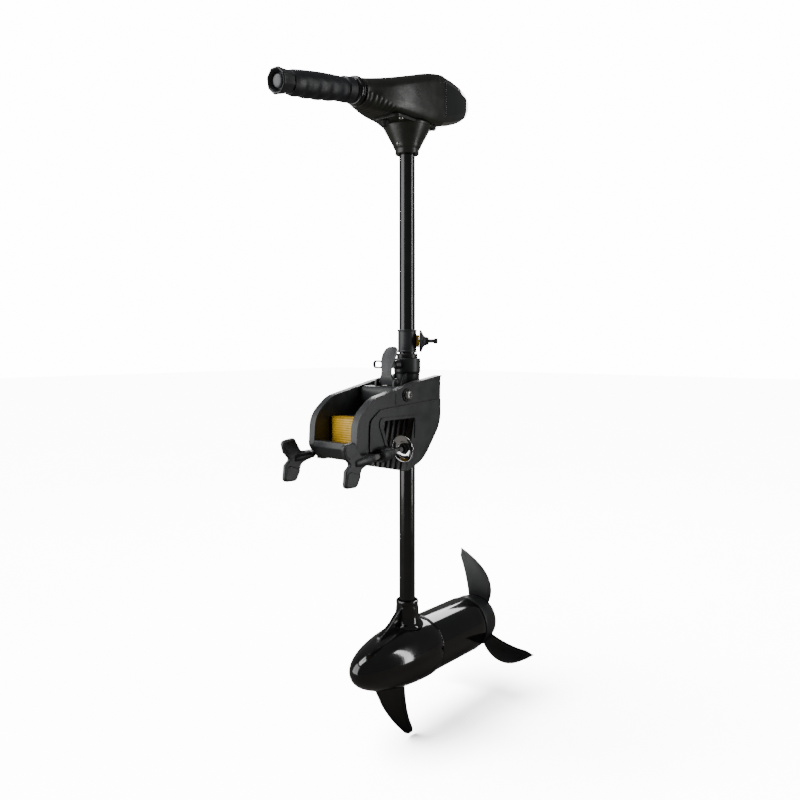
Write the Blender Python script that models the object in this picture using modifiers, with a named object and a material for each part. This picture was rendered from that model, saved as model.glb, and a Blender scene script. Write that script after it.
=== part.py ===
"""Transom-mount electric trolling motor, as an assembly of separate pieces.

Metres, +Z up. The tiller and the clamp wings point to -Y, the propeller to +Y.
The origin is on the underside of the saddle, where the bracket sits on a boat's transom.
"""

from math import atan2, cos, pi, radians, sin, tan

import bmesh
import bpy
from mathutils import Euler, Matrix, Vector

OBJECT_NAME = "trolling_motor"
GAP = 0.0003

# Column: one straight tube carries the head above and the motor below.
SHAFT_Y = 0.075
SHAFT_R = 0.0127
SHAFT_WALL = 0.0016
SHAFT_TOP = 0.450
SHAFT_BOTTOM = -0.3325

# Motor pod, turned about an axis along Y.
MOTOR_Z = -0.3755
MOTOR_R = 0.045
MOTOR_WALL = 0.004
BELLY_R = 0.0472
NOSE_Y = -0.047
NOSE_LENGTH = 0.142
SEAM_Y = 0.112
REAR_Y = 0.2335
SOCKET_TOP = -0.293
SKEG_TIP_Z = -0.510
AXLE_R = 0.004
BEARING_R = 0.011
BEARING_W = 0.007
ARMATURE = (0.060, 0.172)

# Propeller
HUB_R = 0.0435
HUB_Y = (0.236, 0.284)
PROP_R = 0.125
PROP_PITCH = 0.085
BLADE_ANGLES = (75.5, -44.5, -164.5)

# Transom bracket
CHEEK_OUTER = 0.0485
CHEEK_T = 0.012
CHEEK_INNER = CHEEK_OUTER - CHEEK_T
RAKE = radians(12.5)
WALL_TOP_Y = 0.035
PIVOT_Y, PIVOT_Z = 0.020, 0.035
PIVOT_R = 0.005
LOCK_R = 0.072
LOCK_ANGLE = radians(-66)
LOCK_TRAVEL = 0.007
NOTCH_STEP = radians(20)
NOTCHES = 5

# Clamp screws, on an axis that rises towards the transom.
CLAMP_X = 0.0535
CLAMP_SLOPE = radians(5.5)
PAD_Y, PAD_Z = 0.006, -0.0417
PAD_R = 0.020
SCREW_R = 0.0045
LEFT_BACK_OFF = 0.014
WING_BACK = -0.096

# Swivel, depth collar and their controls
SWIVEL_R = 0.0195
FLANGE_R = 0.021
LEVER_Y, LEVER_Z = 0.028, 0.053
TENSION_Z = 0.079
COLLAR_Z = (0.098, 0.134)
COLLAR_R = 0.0147
KNOB_DIRECTION = radians(40.5)
KNOB_Z = 0.116

# Head and tiller
HEAD_WALL = 0.0028
SEAM_Z = 0.458
# Along the head: place in Y, half width, underside, top, corner radius
HEAD_SECTIONS = (
    (-0.0380, 0.0205, 0.4605, 0.5020, 0.0170),
    (-0.0300, 0.0225, 0.4590, 0.5035, 0.0180),
    (-0.0100, 0.0300, SEAM_Z, 0.5075, 0.0185),
    (0.0140, 0.0370, SEAM_Z, 0.5135, 0.0175),
    (0.0450, 0.0425, SEAM_Z, 0.5230, 0.0165),
    (0.0850, 0.0450, SEAM_Z, 0.5360, 0.0155),
    (0.1180, 0.0450, 0.4600, 0.5420, 0.0150),
    (0.1400, 0.0435, 0.4655, 0.5410, 0.0150),
    (0.1650, 0.0405, 0.4740, 0.5380, 0.0145),
    (0.1850, 0.0370, 0.4830, 0.5340, 0.0140),
    (0.1960, 0.0330, 0.4910, 0.5290, 0.0120),
)
PANEL_Y = 0.118
HEAD_SCREW_X = 0.029
HEAD_SCREW_Y = (0.026, 0.1055)
NECK_SCREW_Z = 0.425
GLAND_Y = 0.0215
TILLER_Y, TILLER_Z = 0.004, 0.4905
TILLER_DROP = radians(9.5)
ARM_R = 0.0115
GRIP_R = 0.0185
GRIP_START, GRIP_END, FREE_END = 0.0590, 0.1785, 0.2015
ARM_INNER_END = -0.130
ROD_R = 0.003

ALONG_X = (0, pi / 2, 0)
ALONG_Y = (-pi / 2, 0, 0)
SIDE = (pi / 2, 0, pi / 2)
TILLER = (pi / 2 + TILLER_DROP, 0, 0)
CLAMP = (-pi / 2 + CLAMP_SLOPE, 0, 0)
KNOB = (0, pi / 2, KNOB_DIRECTION)


def clear_scene():
    for obj in list(bpy.data.objects):
        bpy.data.objects.remove(obj, do_unlink=True)


def new_collection(name):
    collection = bpy.data.collections.new(name)
    bpy.context.scene.collection.children.link(collection)
    return collection


def material(name, color, roughness, metallic=0.0):
    made = bpy.data.materials.new(name)
    made.use_nodes = True
    shader = made.node_tree.nodes["Principled BSDF"]
    shader.inputs["Base Color"].default_value = (*color, 1.0)
    shader.inputs["Roughness"].default_value = roughness
    shader.inputs["Metallic"].default_value = metallic
    return made


clear_scene()
PARTS = new_collection(OBJECT_NAME)
CUTTERS = new_collection("cutters")

SATIN = material("satin_plastic", (0.035, 0.038, 0.040), 0.45)
HEAD_PLASTIC = material("head_plastic", (0.040, 0.042, 0.036), 0.38)
GLOSS = material("gloss_paint", (0.010, 0.010, 0.011), 0.12)
PANEL = material("panel_gloss", (0.012, 0.013, 0.014), 0.08)
RUBBER = material("grip_rubber", (0.022, 0.024, 0.030), 0.60)
BUTTON = material("button_grey", (0.20, 0.21, 0.22), 0.50)
PROP = material("prop_plastic", (0.045, 0.045, 0.045), 0.55)
YELLOW = material("yellow_plastic", (0.62, 0.36, 0.02), 0.45)
CHROME = material("chrome", (0.80, 0.80, 0.80), 0.10, 1.0)
STEEL = material("steel", (0.50, 0.50, 0.50), 0.30, 1.0)
NYLON = material("nylon", (0.020, 0.020, 0.021), 0.45)
COPPER = material("copper", (0.72, 0.33, 0.16), 0.30, 1.0)
CARBON = material("carbon", (0.03, 0.03, 0.03), 0.70)
FERRITE = material("ferrite", (0.09, 0.09, 0.10), 0.60)
BOARD = material("circuit_board", (0.02, 0.16, 0.06), 0.50)


# ---- building blocks ------------------------------------------------------------------


def place(name, mesh, look, location=(0, 0, 0), rotation=(0, 0, 0)):
    obj = bpy.data.objects.new(name, mesh)
    if look:
        mesh.materials.append(look)
        mesh.shade_smooth()
        mesh.set_sharp_from_angle(angle=radians(35))
    obj.location, obj.rotation_euler = location, rotation
    (PARTS if look else CUTTERS).objects.link(obj)
    if not look:
        obj.hide_render = True
        obj.display_type = "WIRE"
    return obj


def box_mesh(size):
    made = bmesh.new()
    bmesh.ops.create_cube(made, size=1.0)
    bmesh.ops.scale(made, vec=size, verts=made.verts)
    return finished(made, "box")


def span_mesh(low, high):
    """A box from its lowest to its highest corner."""
    low, high = Vector(low), Vector(high)
    made = bmesh.new()
    bmesh.ops.create_cube(made, size=1.0)
    bmesh.ops.scale(made, vec=high - low, verts=made.verts)
    bmesh.ops.translate(made, vec=(low + high) / 2, verts=made.verts)
    return finished(made, "span")


def rod_mesh(radius, start, end, sides=16):
    """A rod along local Z between two heights."""
    made = bmesh.new()
    bmesh.ops.create_cone(
        made, cap_ends=True, segments=sides, radius1=radius, radius2=radius, depth=end - start
    )
    bmesh.ops.translate(made, vec=(0, 0, (start + end) / 2), verts=made.verts)
    return finished(made, "rod")


def finished(made, name):
    mesh = bpy.data.meshes.new(name)
    made.to_mesh(mesh)
    made.free()
    return mesh


def rounded(corners, steps=3):
    """The outline through (a, b, radius) corners, each rounded by an arc of that radius."""
    outline = []
    for index, (a, b, radius) in enumerate(corners):
        corner = Vector((a, b))
        before = Vector(corners[index - 1][:2]) - corner
        after = Vector(corners[(index + 1) % len(corners)][:2]) - corner
        if radius == 0:
            outline.append(corner)
            continue
        half = before.angle(after) / 2
        reach = min(radius / tan(half), before.length * 0.48, after.length * 0.48)
        start = corner + before.normalized() * reach
        end = corner + after.normalized() * reach
        for step in range(steps + 1):
            t = step / steps
            outline.append(start * (1 - t) ** 2 + corner * 2 * t * (1 - t) + end * t**2)
    return outline


def plate_mesh(outline, thickness):
    """A flat outline in local XY, centred on local Z."""
    curve = bpy.data.curves.new("plate", "CURVE")
    curve.dimensions, curve.fill_mode, curve.extrude = "2D", "BOTH", thickness / 2
    spline = curve.splines.new("POLY")
    spline.points.add(len(outline) - 1)
    for point, (a, b) in zip(spline.points, outline):
        point.co = (a, b, 0, 1)
    spline.use_cyclic_u = True
    guide = bpy.data.objects.new("plate", curve)
    CUTTERS.objects.link(guide)
    graph = bpy.context.evaluated_depsgraph_get()
    mesh = bpy.data.meshes.new_from_object(guide.evaluated_get(graph))
    bpy.data.objects.remove(guide, do_unlink=True)
    made = bmesh.new()
    made.from_mesh(mesh)
    bmesh.ops.remove_doubles(made, verts=made.verts, dist=1e-6)
    bmesh.ops.recalc_face_normals(made, faces=made.faces)
    made.to_mesh(mesh)
    made.free()
    return mesh


def turned(name, profile, look, location=(0, 0, 0), rotation=(0, 0, 0), steps=20, ring=False):
    """A turned piece: (radius, height) points, down the outer side, about local Z."""
    mesh = bpy.data.meshes.new(name)
    edges = [(index, index + 1) for index in range(len(profile) - 1)]
    if ring:
        edges.append((len(profile) - 1, 0))
    mesh.from_pydata([(radius, 0, height) for radius, height in profile], edges, [])
    obj = place(name, mesh, look, location, rotation)
    screw = obj.modifiers.new("turn", "SCREW")
    screw.steps = screw.render_steps = steps
    screw.use_merge_vertices = True
    screw.merge_threshold = 0.00001
    screw.use_smooth_shade = bool(look)
    return obj


def tube_profile(outer, inner, low, high):
    return [(inner, high), (outer, high), (outer, low), (inner, low)]


def combine(target, cutter, operation="DIFFERENCE", solver="EXACT"):
    modifier = target.modifiers.new(f"{operation.lower()}_{len(target.modifiers)}", "BOOLEAN")
    modifier.operation, modifier.object, modifier.solver = operation, cutter, solver


def carve(target, mesh, location=(0, 0, 0), rotation=(0, 0, 0), operation="DIFFERENCE"):
    cutter = place(f"tool_{target.name}_{len(target.modifiers)}", mesh, None, location, rotation)
    combine(target, cutter, operation)


def pivot_empty(name, location, parent=None, rotation=(0, 0, 0)):
    empty = bpy.data.objects.new(name, None)
    empty.empty_display_size = 0.03
    PARTS.objects.link(empty)
    matrix = Matrix.LocRotScale(Vector(location), Euler(rotation), None)
    if parent:
        empty.parent = parent
        empty.matrix_parent_inverse = frames[parent.name].inverted()
    empty.matrix_basis = matrix
    frames[name] = matrix
    return empty


def carry(empty, *pieces):
    for piece in pieces:
        piece.parent = empty
        piece.matrix_parent_inverse = frames[empty.name].inverted()


frames = {}


# ---- transom bracket ------------------------------------------------------------------


def cheek_outline():
    return rounded(
        [
            (0.1035, 0.063, 0.004),
            (0.040, 0.054, 0.120),
            (-0.056, 0.034, 0.050),
            (-0.089, 0.008, 0.040),
            (-0.0915, -0.036, 0.012),
            (-0.075, -0.058, 0.008),
            (-0.024, -0.056, 0.003),
            (-0.024, -0.038, 0.006),
            (-0.038, 0.0, 0.006),
            (WALL_TOP_Y, 0.0, 0.003),
            (WALL_TOP_Y - 0.079 * tan(RAKE), -0.079, 0.002),
            (0.058, -0.066, 0.060),
            (0.1015, -0.012, 0.070),
        ]
    )


def at_pivot(radius, angle):
    return (PIVOT_Y + radius * cos(angle), PIVOT_Z + radius * sin(angle))


def notch_track():
    """The arc that the lock pin runs along, with its notches on the side of the pivot."""
    half, low, high = radians(2.75), LOCK_R - 0.0035, LOCK_R + 0.0035
    notch = LOCK_R - LOCK_TRAVEL - 0.0034
    sweep = (NOTCHES - 1) * NOTCH_STEP + 4 * half
    outline = []
    for index in range(NOTCHES):
        angle = LOCK_ANGLE + index * NOTCH_STEP
        for radius, shift in ((low, -2 * half), (low, -half), (notch, -half)):
            outline.append(at_pivot(radius, angle + shift))
        for radius, shift in ((notch, half), (low, half), (low, 2 * half)):
            outline.append(at_pivot(radius, angle + shift))
    for index in range(13):
        outline.append(at_pivot(high, LOCK_ANGLE - 2 * half + sweep * (1 - index / 12)))
    return outline


def build_cheek(side, sign):
    middle = sign * (CHEEK_OUTER + CHEEK_INNER) / 2
    cheek = place(f"cheek_{side}", plate_mesh(cheek_outline(), CHEEK_T), SATIN, (middle, 0, 0), SIDE)
    axis = (sign * CLAMP_X, PAD_Y, PAD_Z)
    carve(cheek, rod_mesh(0.009, -0.0555, -0.0315), axis, CLAMP, "UNION")
    carve(cheek, rod_mesh(0.0095, -0.120, -0.056), axis, CLAMP)
    carve(cheek, rod_mesh(SCREW_R + 0.0004, -0.080, 0.0), axis, CLAMP)
    carve(cheek, rod_mesh(PIVOT_R + GAP, -0.02, 0.02), (middle, PIVOT_Y, PIVOT_Z), ALONG_X)
    depth = sign * (CHEEK_INNER + 0.0025)
    carve(cheek, plate_mesh(notch_track(), 0.009 - 0.0002), (depth, 0, 0), SIDE)
    return cheek


def build_front_bridge():
    outline = rounded(
        [
            (-0.0905, -0.0285, 0.001),
            (-0.0905, -0.0380, 0.006),
            (-0.0760, -0.0550, 0.005),
            (-0.0680, -0.0550, 0.001),
            (-0.0800, -0.0370, 0.006),
            (-0.0800, -0.0285, 0.001),
        ]
    )
    return place("front_bridge", plate_mesh(outline, 2 * (CHEEK_INNER - GAP)), SATIN, (0, 0, 0), SIDE)


def ribbed_outline(half_width, base, rib, count):
    """A strip with upright ribs on its -Y side, in plan."""
    pitch = 2 * half_width / count
    outline = [(half_width, base), (-half_width, base), (-half_width, 0)]
    for index in range(count):
        start = -half_width + index * pitch
        outline += [(start + pitch * 0.28, 0), (start + pitch * 0.34, -rib)]
        outline += [(start + pitch * 0.66, -rib), (start + pitch * 0.72, 0)]
    return outline + [(half_width, 0)]


def build_saddle():
    """Top plate that rests on the transom, and the ribbed wall that bears on its back."""
    half_width = CHEEK_INNER - GAP
    low, high = (-half_width, -0.036, 0.0), (half_width, WALL_TOP_Y + 0.004, 0.004)
    saddle = place("transom_saddle", span_mesh(low, high), SATIN)
    rib, base, height = 0.003, 0.0032, 0.084
    outline = ribbed_outline(half_width - GAP, base, rib, 7)
    foot = height / 2 - 0.003
    centre_y = WALL_TOP_Y + rib / cos(RAKE) - foot * sin(RAKE)
    centre = (0, centre_y, -foot * cos(RAKE))
    wall = place("tool_saddle_wall", plate_mesh(outline, height), None, centre, (-RAKE, 0, 0))
    combine(saddle, wall, "UNION", "MANIFOLD")
    carve(saddle, span_mesh((-0.05, -0.05, 0.004), (0.05, 0.08, 0.02)))
    carve(saddle, span_mesh((-0.05, WALL_TOP_Y - 0.0085, -0.004), (0.05, WALL_TOP_Y + 0.0025, 0.0006)))
    return saddle


def build_bumper():
    outline = rounded(
        [(0.0360, -0.0600, 0.009), (0.0360, -0.0400, 0.002), (-0.0360, -0.0400, 0.002), (-0.0360, -0.0600, 0.009)]
    )
    return place("ribbed_bumper", plate_mesh(outline, 0.038), YELLOW, (0, 0, -0.015))


def build_pivot():
    bolt = turned(
        "pivot_bolt",
        [
            (0, CHEEK_OUTER + 0.0035),
            (0.006, CHEEK_OUTER + 0.0035),
            (0.0075, CHEEK_OUTER + 0.0025),
            (0.0075, CHEEK_OUTER + GAP),
            (PIVOT_R, CHEEK_OUTER + GAP),
            (PIVOT_R, -CHEEK_OUTER - 0.0045),
            (0, -CHEEK_OUTER - 0.0045),
        ],
        STEEL,
        (0, PIVOT_Y, PIVOT_Z),
        ALONG_X,
        20,
    )
    nut = turned(
        "pivot_nut",
        tube_profile(0.008, (PIVOT_R + GAP) / cos(pi / 6), -CHEEK_OUTER - 0.0045, -CHEEK_OUTER - GAP),
        STEEL,
        (0, PIVOT_Y, PIVOT_Z),
        ALONG_X,
        6,
        ring=True,
    )
    return bolt, nut


# ---- clamp screws ---------------------------------------------------------------------


def wing_outline():
    """Two lobes that lean towards the user, in the plane of the screw's axis: (along the axis, up)."""
    return rounded(
        [
            (0.018, 0.0060, 0),
            (0.0005, 0.0090, 0.006),
            (-0.010, 0.0300, 0.005),
            (-0.0345, 0.0285, 0.006),
            (-0.0305, 0.0120, 0.010),
            (-0.0205, 0.0, 0.004),
            (-0.0310, -0.0060, 0.004),
            (-0.0355, -0.0300, 0.006),
            (-0.0115, -0.0330, 0.006),
            (0.0005, -0.0100, 0.008),
            (0.018, -0.0060, 0),
        ]
    )


def build_clamp(side, sign):
    back = LEFT_BACK_OFF if sign < 0 else 0.0
    origin = (sign * CLAMP_X, PAD_Y - back * cos(CLAMP_SLOPE), PAD_Z - back * sin(CLAMP_SLOPE))
    pad = turned(
        f"clamp_pad_{side}",
        [
            (0, 0),
            (0.011, 0),
            (PAD_R - 0.001, -0.0035),
            (PAD_R, -0.0050),
            (PAD_R - 0.001, -0.0056),
            (0.0115, -0.0030),
            (0.0085, -0.0032),
            (0.0078, -0.0065),
            (SCREW_R + GAP, -0.0065),
            (SCREW_R + GAP, -0.0020),
            (0, -0.0020),
        ],
        CHROME,
        origin,
        CLAMP,
        20,
    )
    screw = place(
        f"clamp_screw_{side}", rod_mesh(SCREW_R, WING_BACK - 0.010, -0.0023, 20), CHROME, origin, CLAMP
    )
    slant = Matrix.Rotation(CLAMP_SLOPE, 4, "X") @ Euler(SIDE).to_matrix().to_4x4()
    wing = place(
        f"clamp_wing_{side}",
        plate_mesh([(a + WING_BACK, b) for a, b in wing_outline()], 0.008),
        SATIN,
        origin,
        slant.to_euler(),
    )
    carve(wing, rod_mesh(0.0070, WING_BACK - 0.014, -0.070, 20), origin, CLAMP, "UNION")
    carve(wing, rod_mesh(SCREW_R + GAP, WING_BACK - 0.0103, 0.0, 20), origin, CLAMP)
    return pad, screw, wing


# ---- swivel and its controls ----------------------------------------------------------


def build_swivel():
    centre = (0, SHAFT_Y, 0)
    swivel = place("swivel_block", rod_mesh(SWIVEL_R, -0.042, 0.075, 20), SATIN, centre)
    carve(swivel, rod_mesh(FLANGE_R, 0.067, 0.0888, 20), centre, (0, 0, 0), "UNION")
    half = CHEEK_INNER - 0.0005
    arms = rounded(
        [
            (0.006, 0.021, 0.010),
            (0.006, 0.047, 0.010),
            (0.070, 0.047, 0.004),
            (0.070, 0.018, 0.004),
            (0.020, 0.018, 0.010),
        ]
    )
    carve(swivel, plate_mesh(arms, 2 * half), (0, 0, 0), SIDE, "UNION")
    carve(swivel, span_mesh((-0.014, 0.0438, -0.0415), (0.014, 0.070, 0.030)), operation="UNION")
    for sign in (-1, 1):
        ear = rounded([(0.020, 0.040, 0), (0.036, 0.040, 0), (0.034, 0.060, 0.006), (0.022, 0.060, 0.006)])
        carve(swivel, plate_mesh(ear, 0.004), (sign * 0.018, 0, 0), SIDE, "UNION")
    carve(swivel, rod_mesh(0.0147, -0.060, 0.100, 20), centre)
    carve(swivel, rod_mesh(PIVOT_R + GAP, -0.05, 0.05), (0, PIVOT_Y, PIVOT_Z), ALONG_X)
    carve(swivel, rod_mesh(0.0028, -0.03, 0.03, 16), (0, LEVER_Y, LEVER_Z), ALONG_X)
    slot_middle = LOCK_R - LOCK_TRAVEL / 2
    slot = rounded(
        [
            (-LOCK_TRAVEL / 2 - 0.0036, -0.0034, 0.003),
            (LOCK_TRAVEL / 2 + 0.0036, -0.0034, 0.003),
            (LOCK_TRAVEL / 2 + 0.0036, 0.0034, 0.003),
            (-LOCK_TRAVEL / 2 - 0.0036, 0.0034, 0.003),
        ]
    )
    turn = Matrix.Rotation(LOCK_ANGLE, 4, "X") @ Euler(SIDE).to_matrix().to_4x4()
    slot_y, slot_z = at_pivot(slot_middle, LOCK_ANGLE)
    carve(swivel, plate_mesh(slot, 0.06), (0, slot_y, slot_z), turn.to_euler())
    pin_y, pin_z = at_pivot(LOCK_R, LOCK_ANGLE)
    channel = ((-0.0035, pin_y - 0.0064, pin_z - 0.001), (0.0035, pin_y + 0.0036, 0.070))
    carve(swivel, span_mesh(*channel))
    carve(swivel, span_mesh((-0.0035, 0.030, 0.0440), (0.0035, 0.045, 0.070)))
    stud = (0, SHAFT_Y - 0.0125, TENSION_Z)
    carve(swivel, rod_mesh(0.0034, -0.020, 0.0, 16), stud, ALONG_Y)
    return swivel


def build_bushings():
    upper = turned(
        "upper_bushing",
        [
            (SHAFT_R + GAP, 0.0962),
            (0.0160, 0.0962),
            (0.0165, 0.0957),
            (0.0165, 0.0892),
            (0.0144, 0.0892),
            (0.0144, 0.055),
            (SHAFT_R + GAP, 0.055),
        ],
        NYLON,
        (0, SHAFT_Y, 0),
        steps=20,
        ring=True,
    )
    lower = turned(
        "lower_bushing",
        [
            (SHAFT_R + GAP, -0.012),
            (0.0144, -0.012),
            (0.0144, -0.0424),
            (0.0170, -0.0424),
            (0.0170, -0.0450),
            (SHAFT_R + GAP, -0.0450),
        ],
        NYLON,
        (0, SHAFT_Y, 0),
        steps=20,
        ring=True,
    )
    return upper, lower


def build_lever():
    outline = rounded(
        [
            (0.0235, 0.0490, 0.003),
            (0.0500, 0.0451, 0.001),
            (0.0500, 0.0480, 0.001),
            (0.0335, 0.0540, 0.004),
            (0.0290, 0.0660, 0.030),
            (0.0330, 0.0850, 0.030),
            (0.0410, 0.1050, 0.002),
            (0.0370, 0.1075, 0.002),
            (0.0270, 0.0880, 0.030),
            (0.0235, 0.0680, 0.030),
            (0.0225, 0.0540, 0.004),
        ]
    )
    lever = place("tilt_lever", plate_mesh(outline, 0.030), SATIN, (0, 0, 0), SIDE)
    for sign in (-1, 1):
        low, high = (sign * 0.0160, 0.034, 0.040), (sign * 0.0030, 0.060, 0.0600)
        carve(lever, span_mesh(*sorted_corners(low, high)))
        taper = rod_mesh(0.02, -0.05, 0.05, 4)
        carve(lever, taper, (sign * 0.034, 0.03, 0.062), ALONG_Y)
    carve(lever, rod_mesh(0.0028, -0.03, 0.03, 16), (0, LEVER_Y, LEVER_Z), ALONG_X)
    pin = place("lever_pin", rod_mesh(0.0025, -0.0205, 0.0205, 16), STEEL, (0, LEVER_Y, LEVER_Z), ALONG_X)
    return lever, pin


def sorted_corners(a, b):
    return [min(pair) for pair in zip(a, b)], [max(pair) for pair in zip(a, b)]


def build_lock_pin():
    pin_y, pin_z = at_pivot(LOCK_R, LOCK_ANGLE)
    pin = place("lock_pin", rod_mesh(0.003, -0.0405, 0.0405, 16), STEEL, (0, pin_y, pin_z), ALONG_X)
    carve(pin, span_mesh((-0.003, pin_y - 0.0029, pin_z), (0.003, pin_y + 0.0029, 0.037)), operation="UNION")
    return pin


def build_tension_knob():
    knob = place("tension_knob", rod_mesh(0.007, -0.0115, 0.0, 20), SATIN, (0, 0.0534, TENSION_Z), ALONG_Y)
    arm = rounded(
        [
            (0.006, -0.005, 0.004),
            (0.006, 0.005, 0.004),
            (-0.020, 0.0030, 0.010),
            (-0.026, 0.0065, 0.006),
            (-0.046, 0.0065, 0.010),
            (-0.046, -0.0065, 0.010),
            (-0.026, -0.0065, 0.006),
            (-0.020, -0.0030, 0.010),
        ]
    )
    carve(knob, plate_mesh(arm, 0.005), (0, 0.0465, TENSION_Z), ALONG_Y, "UNION")
    carve(knob, rod_mesh(0.003, -0.002, 0.0068, 16), (0, 0.0534, TENSION_Z), ALONG_Y, "UNION")
    return knob


# ---- depth collar ---------------------------------------------------------------------


def build_collar():
    middle = (0, SHAFT_Y, 0)
    low, high = COLLAR_Z
    collar = turned(
        "depth_collar", tube_profile(COLLAR_R, SHAFT_R + GAP, low, high), SATIN, middle, ring=True
    )
    hole = (0, SHAFT_Y, KNOB_Z)
    carve(collar, rod_mesh(0.0034, 0.0, 0.03, 16), hole, KNOB)
    insert = place("collar_insert", box_mesh((0.020, 0.012, 0.0040)), YELLOW, (0, 0, 0), KNOB)
    insert.location = Vector(hole) + Vector((cos(KNOB_DIRECTION), sin(KNOB_DIRECTION), 0)) * 0.0171
    carve(insert, rod_mesh(0.0034, 0.0, 0.03, 16), hole, KNOB)
    knob = turned(
        "collar_knob",
        [
            (0, 0.034),
            (0.006, 0.034),
            (0.0075, 0.028),
            (0.0155, 0.0235),
            (0.0175, 0.0215),
            (0.0175, 0.0195),
            (0, 0.0195),
        ],
        SATIN,
        hole,
        KNOB,
    )
    paddle = rounded(
        [(0.030, -0.0075, 0.002), (0.040, -0.0105, 0.004), (0.048, -0.0100, 0.004)]
        + [(0.048, 0.0100, 0.004), (0.040, 0.0105, 0.004), (0.030, 0.0075, 0.002)]
    )
    carve(knob, plate_mesh(paddle, 0.009), hole, (0, 0, KNOB_DIRECTION), "UNION")
    carve(knob, rod_mesh(0.0034, 0.0, 0.0303, 16), hole, KNOB)
    screw = place("collar_screw", rod_mesh(0.003, 0.0132, 0.030, 16), STEEL, hole, KNOB)
    return collar, insert, knob, screw


# ---- column, head and tiller ----------------------------------------------------------


def build_shaft():
    return turned(
        "shaft_tube",
        tube_profile(SHAFT_R, SHAFT_R - SHAFT_WALL, SHAFT_BOTTOM, SHAFT_TOP),
        GLOSS,
        (0, SHAFT_Y, 0),
        ring=True,
    )


def section_loop(y, half_width, low, high, corner, arc_steps=4):
    """One rounded rectangle of the head, across the boat at one place along it."""
    centres = (
        (half_width - corner, high - corner),
        (corner - half_width, high - corner),
        (corner - half_width, low + corner),
        (half_width - corner, low + corner),
    )
    loop = []
    for quarter, (x, z) in enumerate(centres):
        for step in range(arc_steps + 1):
            angle = pi / 2 * (quarter + step / arc_steps)
            loop.append((x + corner * cos(angle), y, z + corner * sin(angle)))
    return loop


def head_mesh(inset=0.0):
    """The head's form lofted through its sections, shrunk by the wall when it shapes the hollow."""
    made = bmesh.new()
    rings = []
    middle = (HEAD_SECTIONS[0][0] + HEAD_SECTIONS[-1][0]) / 2
    reach = middle - HEAD_SECTIONS[0][0]
    for y, half_width, low, high, corner in HEAD_SECTIONS:
        y = middle + (y - middle) * (reach - inset) / reach
        loop = section_loop(y, half_width - inset, low + inset, high - inset, corner - inset)
        rings.append([made.verts.new(point) for point in loop])
    for ring, following in zip(rings, rings[1:]):
        for index in range(len(ring)):
            ahead = (index + 1) % len(ring)
            made.faces.new((ring[index], ring[ahead], following[ahead], following[index]))
    made.faces.new(rings[0][::-1])
    made.faces.new(rings[-1])
    bmesh.ops.recalc_face_normals(made, faces=made.faces)
    return finished(made, "head")


def build_head_cover():
    cover = place("head_cover", head_mesh(), HEAD_PLASTIC)
    combine(cover, place("tool_head_hollow", head_mesh(HEAD_WALL), None))
    carve(cover, span_mesh((-0.06, PANEL_Y - GAP, 0.40), (0.06, 0.30, 0.60)))
    carve(cover, span_mesh((-0.026, 0.0520, 0.44), (0.026, 0.099, 0.480)))
    carve(cover, rod_mesh(0.0075, 0.44, 0.480), (0, GLAND_Y, 0))
    carve(cover, rod_mesh(0.016, -0.02, 0.07, 20), (0, TILLER_Y, TILLER_Z), TILLER)
    for y in HEAD_SCREW_Y:
        carve(cover, rod_mesh(0.0025, -0.01, 0.012, 12), (HEAD_SCREW_X, y, SEAM_Z))
    return cover


def build_meter_panel():
    panel = place("meter_panel", head_mesh(), PANEL)
    combine(panel, bpy.data.objects["tool_head_hollow"])
    carve(panel, span_mesh((-0.06, -0.05, 0.40), (0.06, PANEL_Y, 0.60)))
    board = place("meter_board", span_mesh((-0.027, 0.1700, 0.488), (0.027, 0.1716, 0.524)), BOARD)
    return panel, board


def build_head_base():
    """The neck funnel and the plate that closes the head from below."""
    top = SEAM_Z - 0.0005
    base = turned(
        "head_base",
        [
            (0, top),
            (0.0380, top),
            (0.0380, top - 0.004),
            (0.0330, 0.4450),
            (0.0265, 0.4330),
            (0.0212, 0.4220),
            (0.0188, 0.4150),
            (0.0188, 0.4115),
            (0, 0.4115),
        ],
        HEAD_PLASTIC,
        (0, SHAFT_Y, 0),
        steps=24,
    )
    flange = rounded(
        [(0.033, 0.012, 0.008), (0.033, 0.112, 0.008), (-0.033, 0.112, 0.008)]
        + [(-0.033, 0.058, 0.010), (-0.014, 0.012, 0.008)]
    )
    carve(base, plate_mesh(flange, 0.004), (0, 0, top - 0.0021), operation="UNION")
    carve(base, rod_mesh(SHAFT_R + GAP, 0.40, 0.48, 20), (0, SHAFT_Y, 0))
    carve(base, rod_mesh(0.0060, 0.44, 0.47, 20), (0, GLAND_Y, 0))
    carve(base, rod_mesh(0.0028, 0.0, 0.04, 12), (0, SHAFT_Y, NECK_SCREW_Z), (pi / 2, 0, 0))
    for y in HEAD_SCREW_Y:
        carve(base, rod_mesh(0.0025, 0.44, 0.47, 12), (HEAD_SCREW_X, y, 0))
    return base


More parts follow.
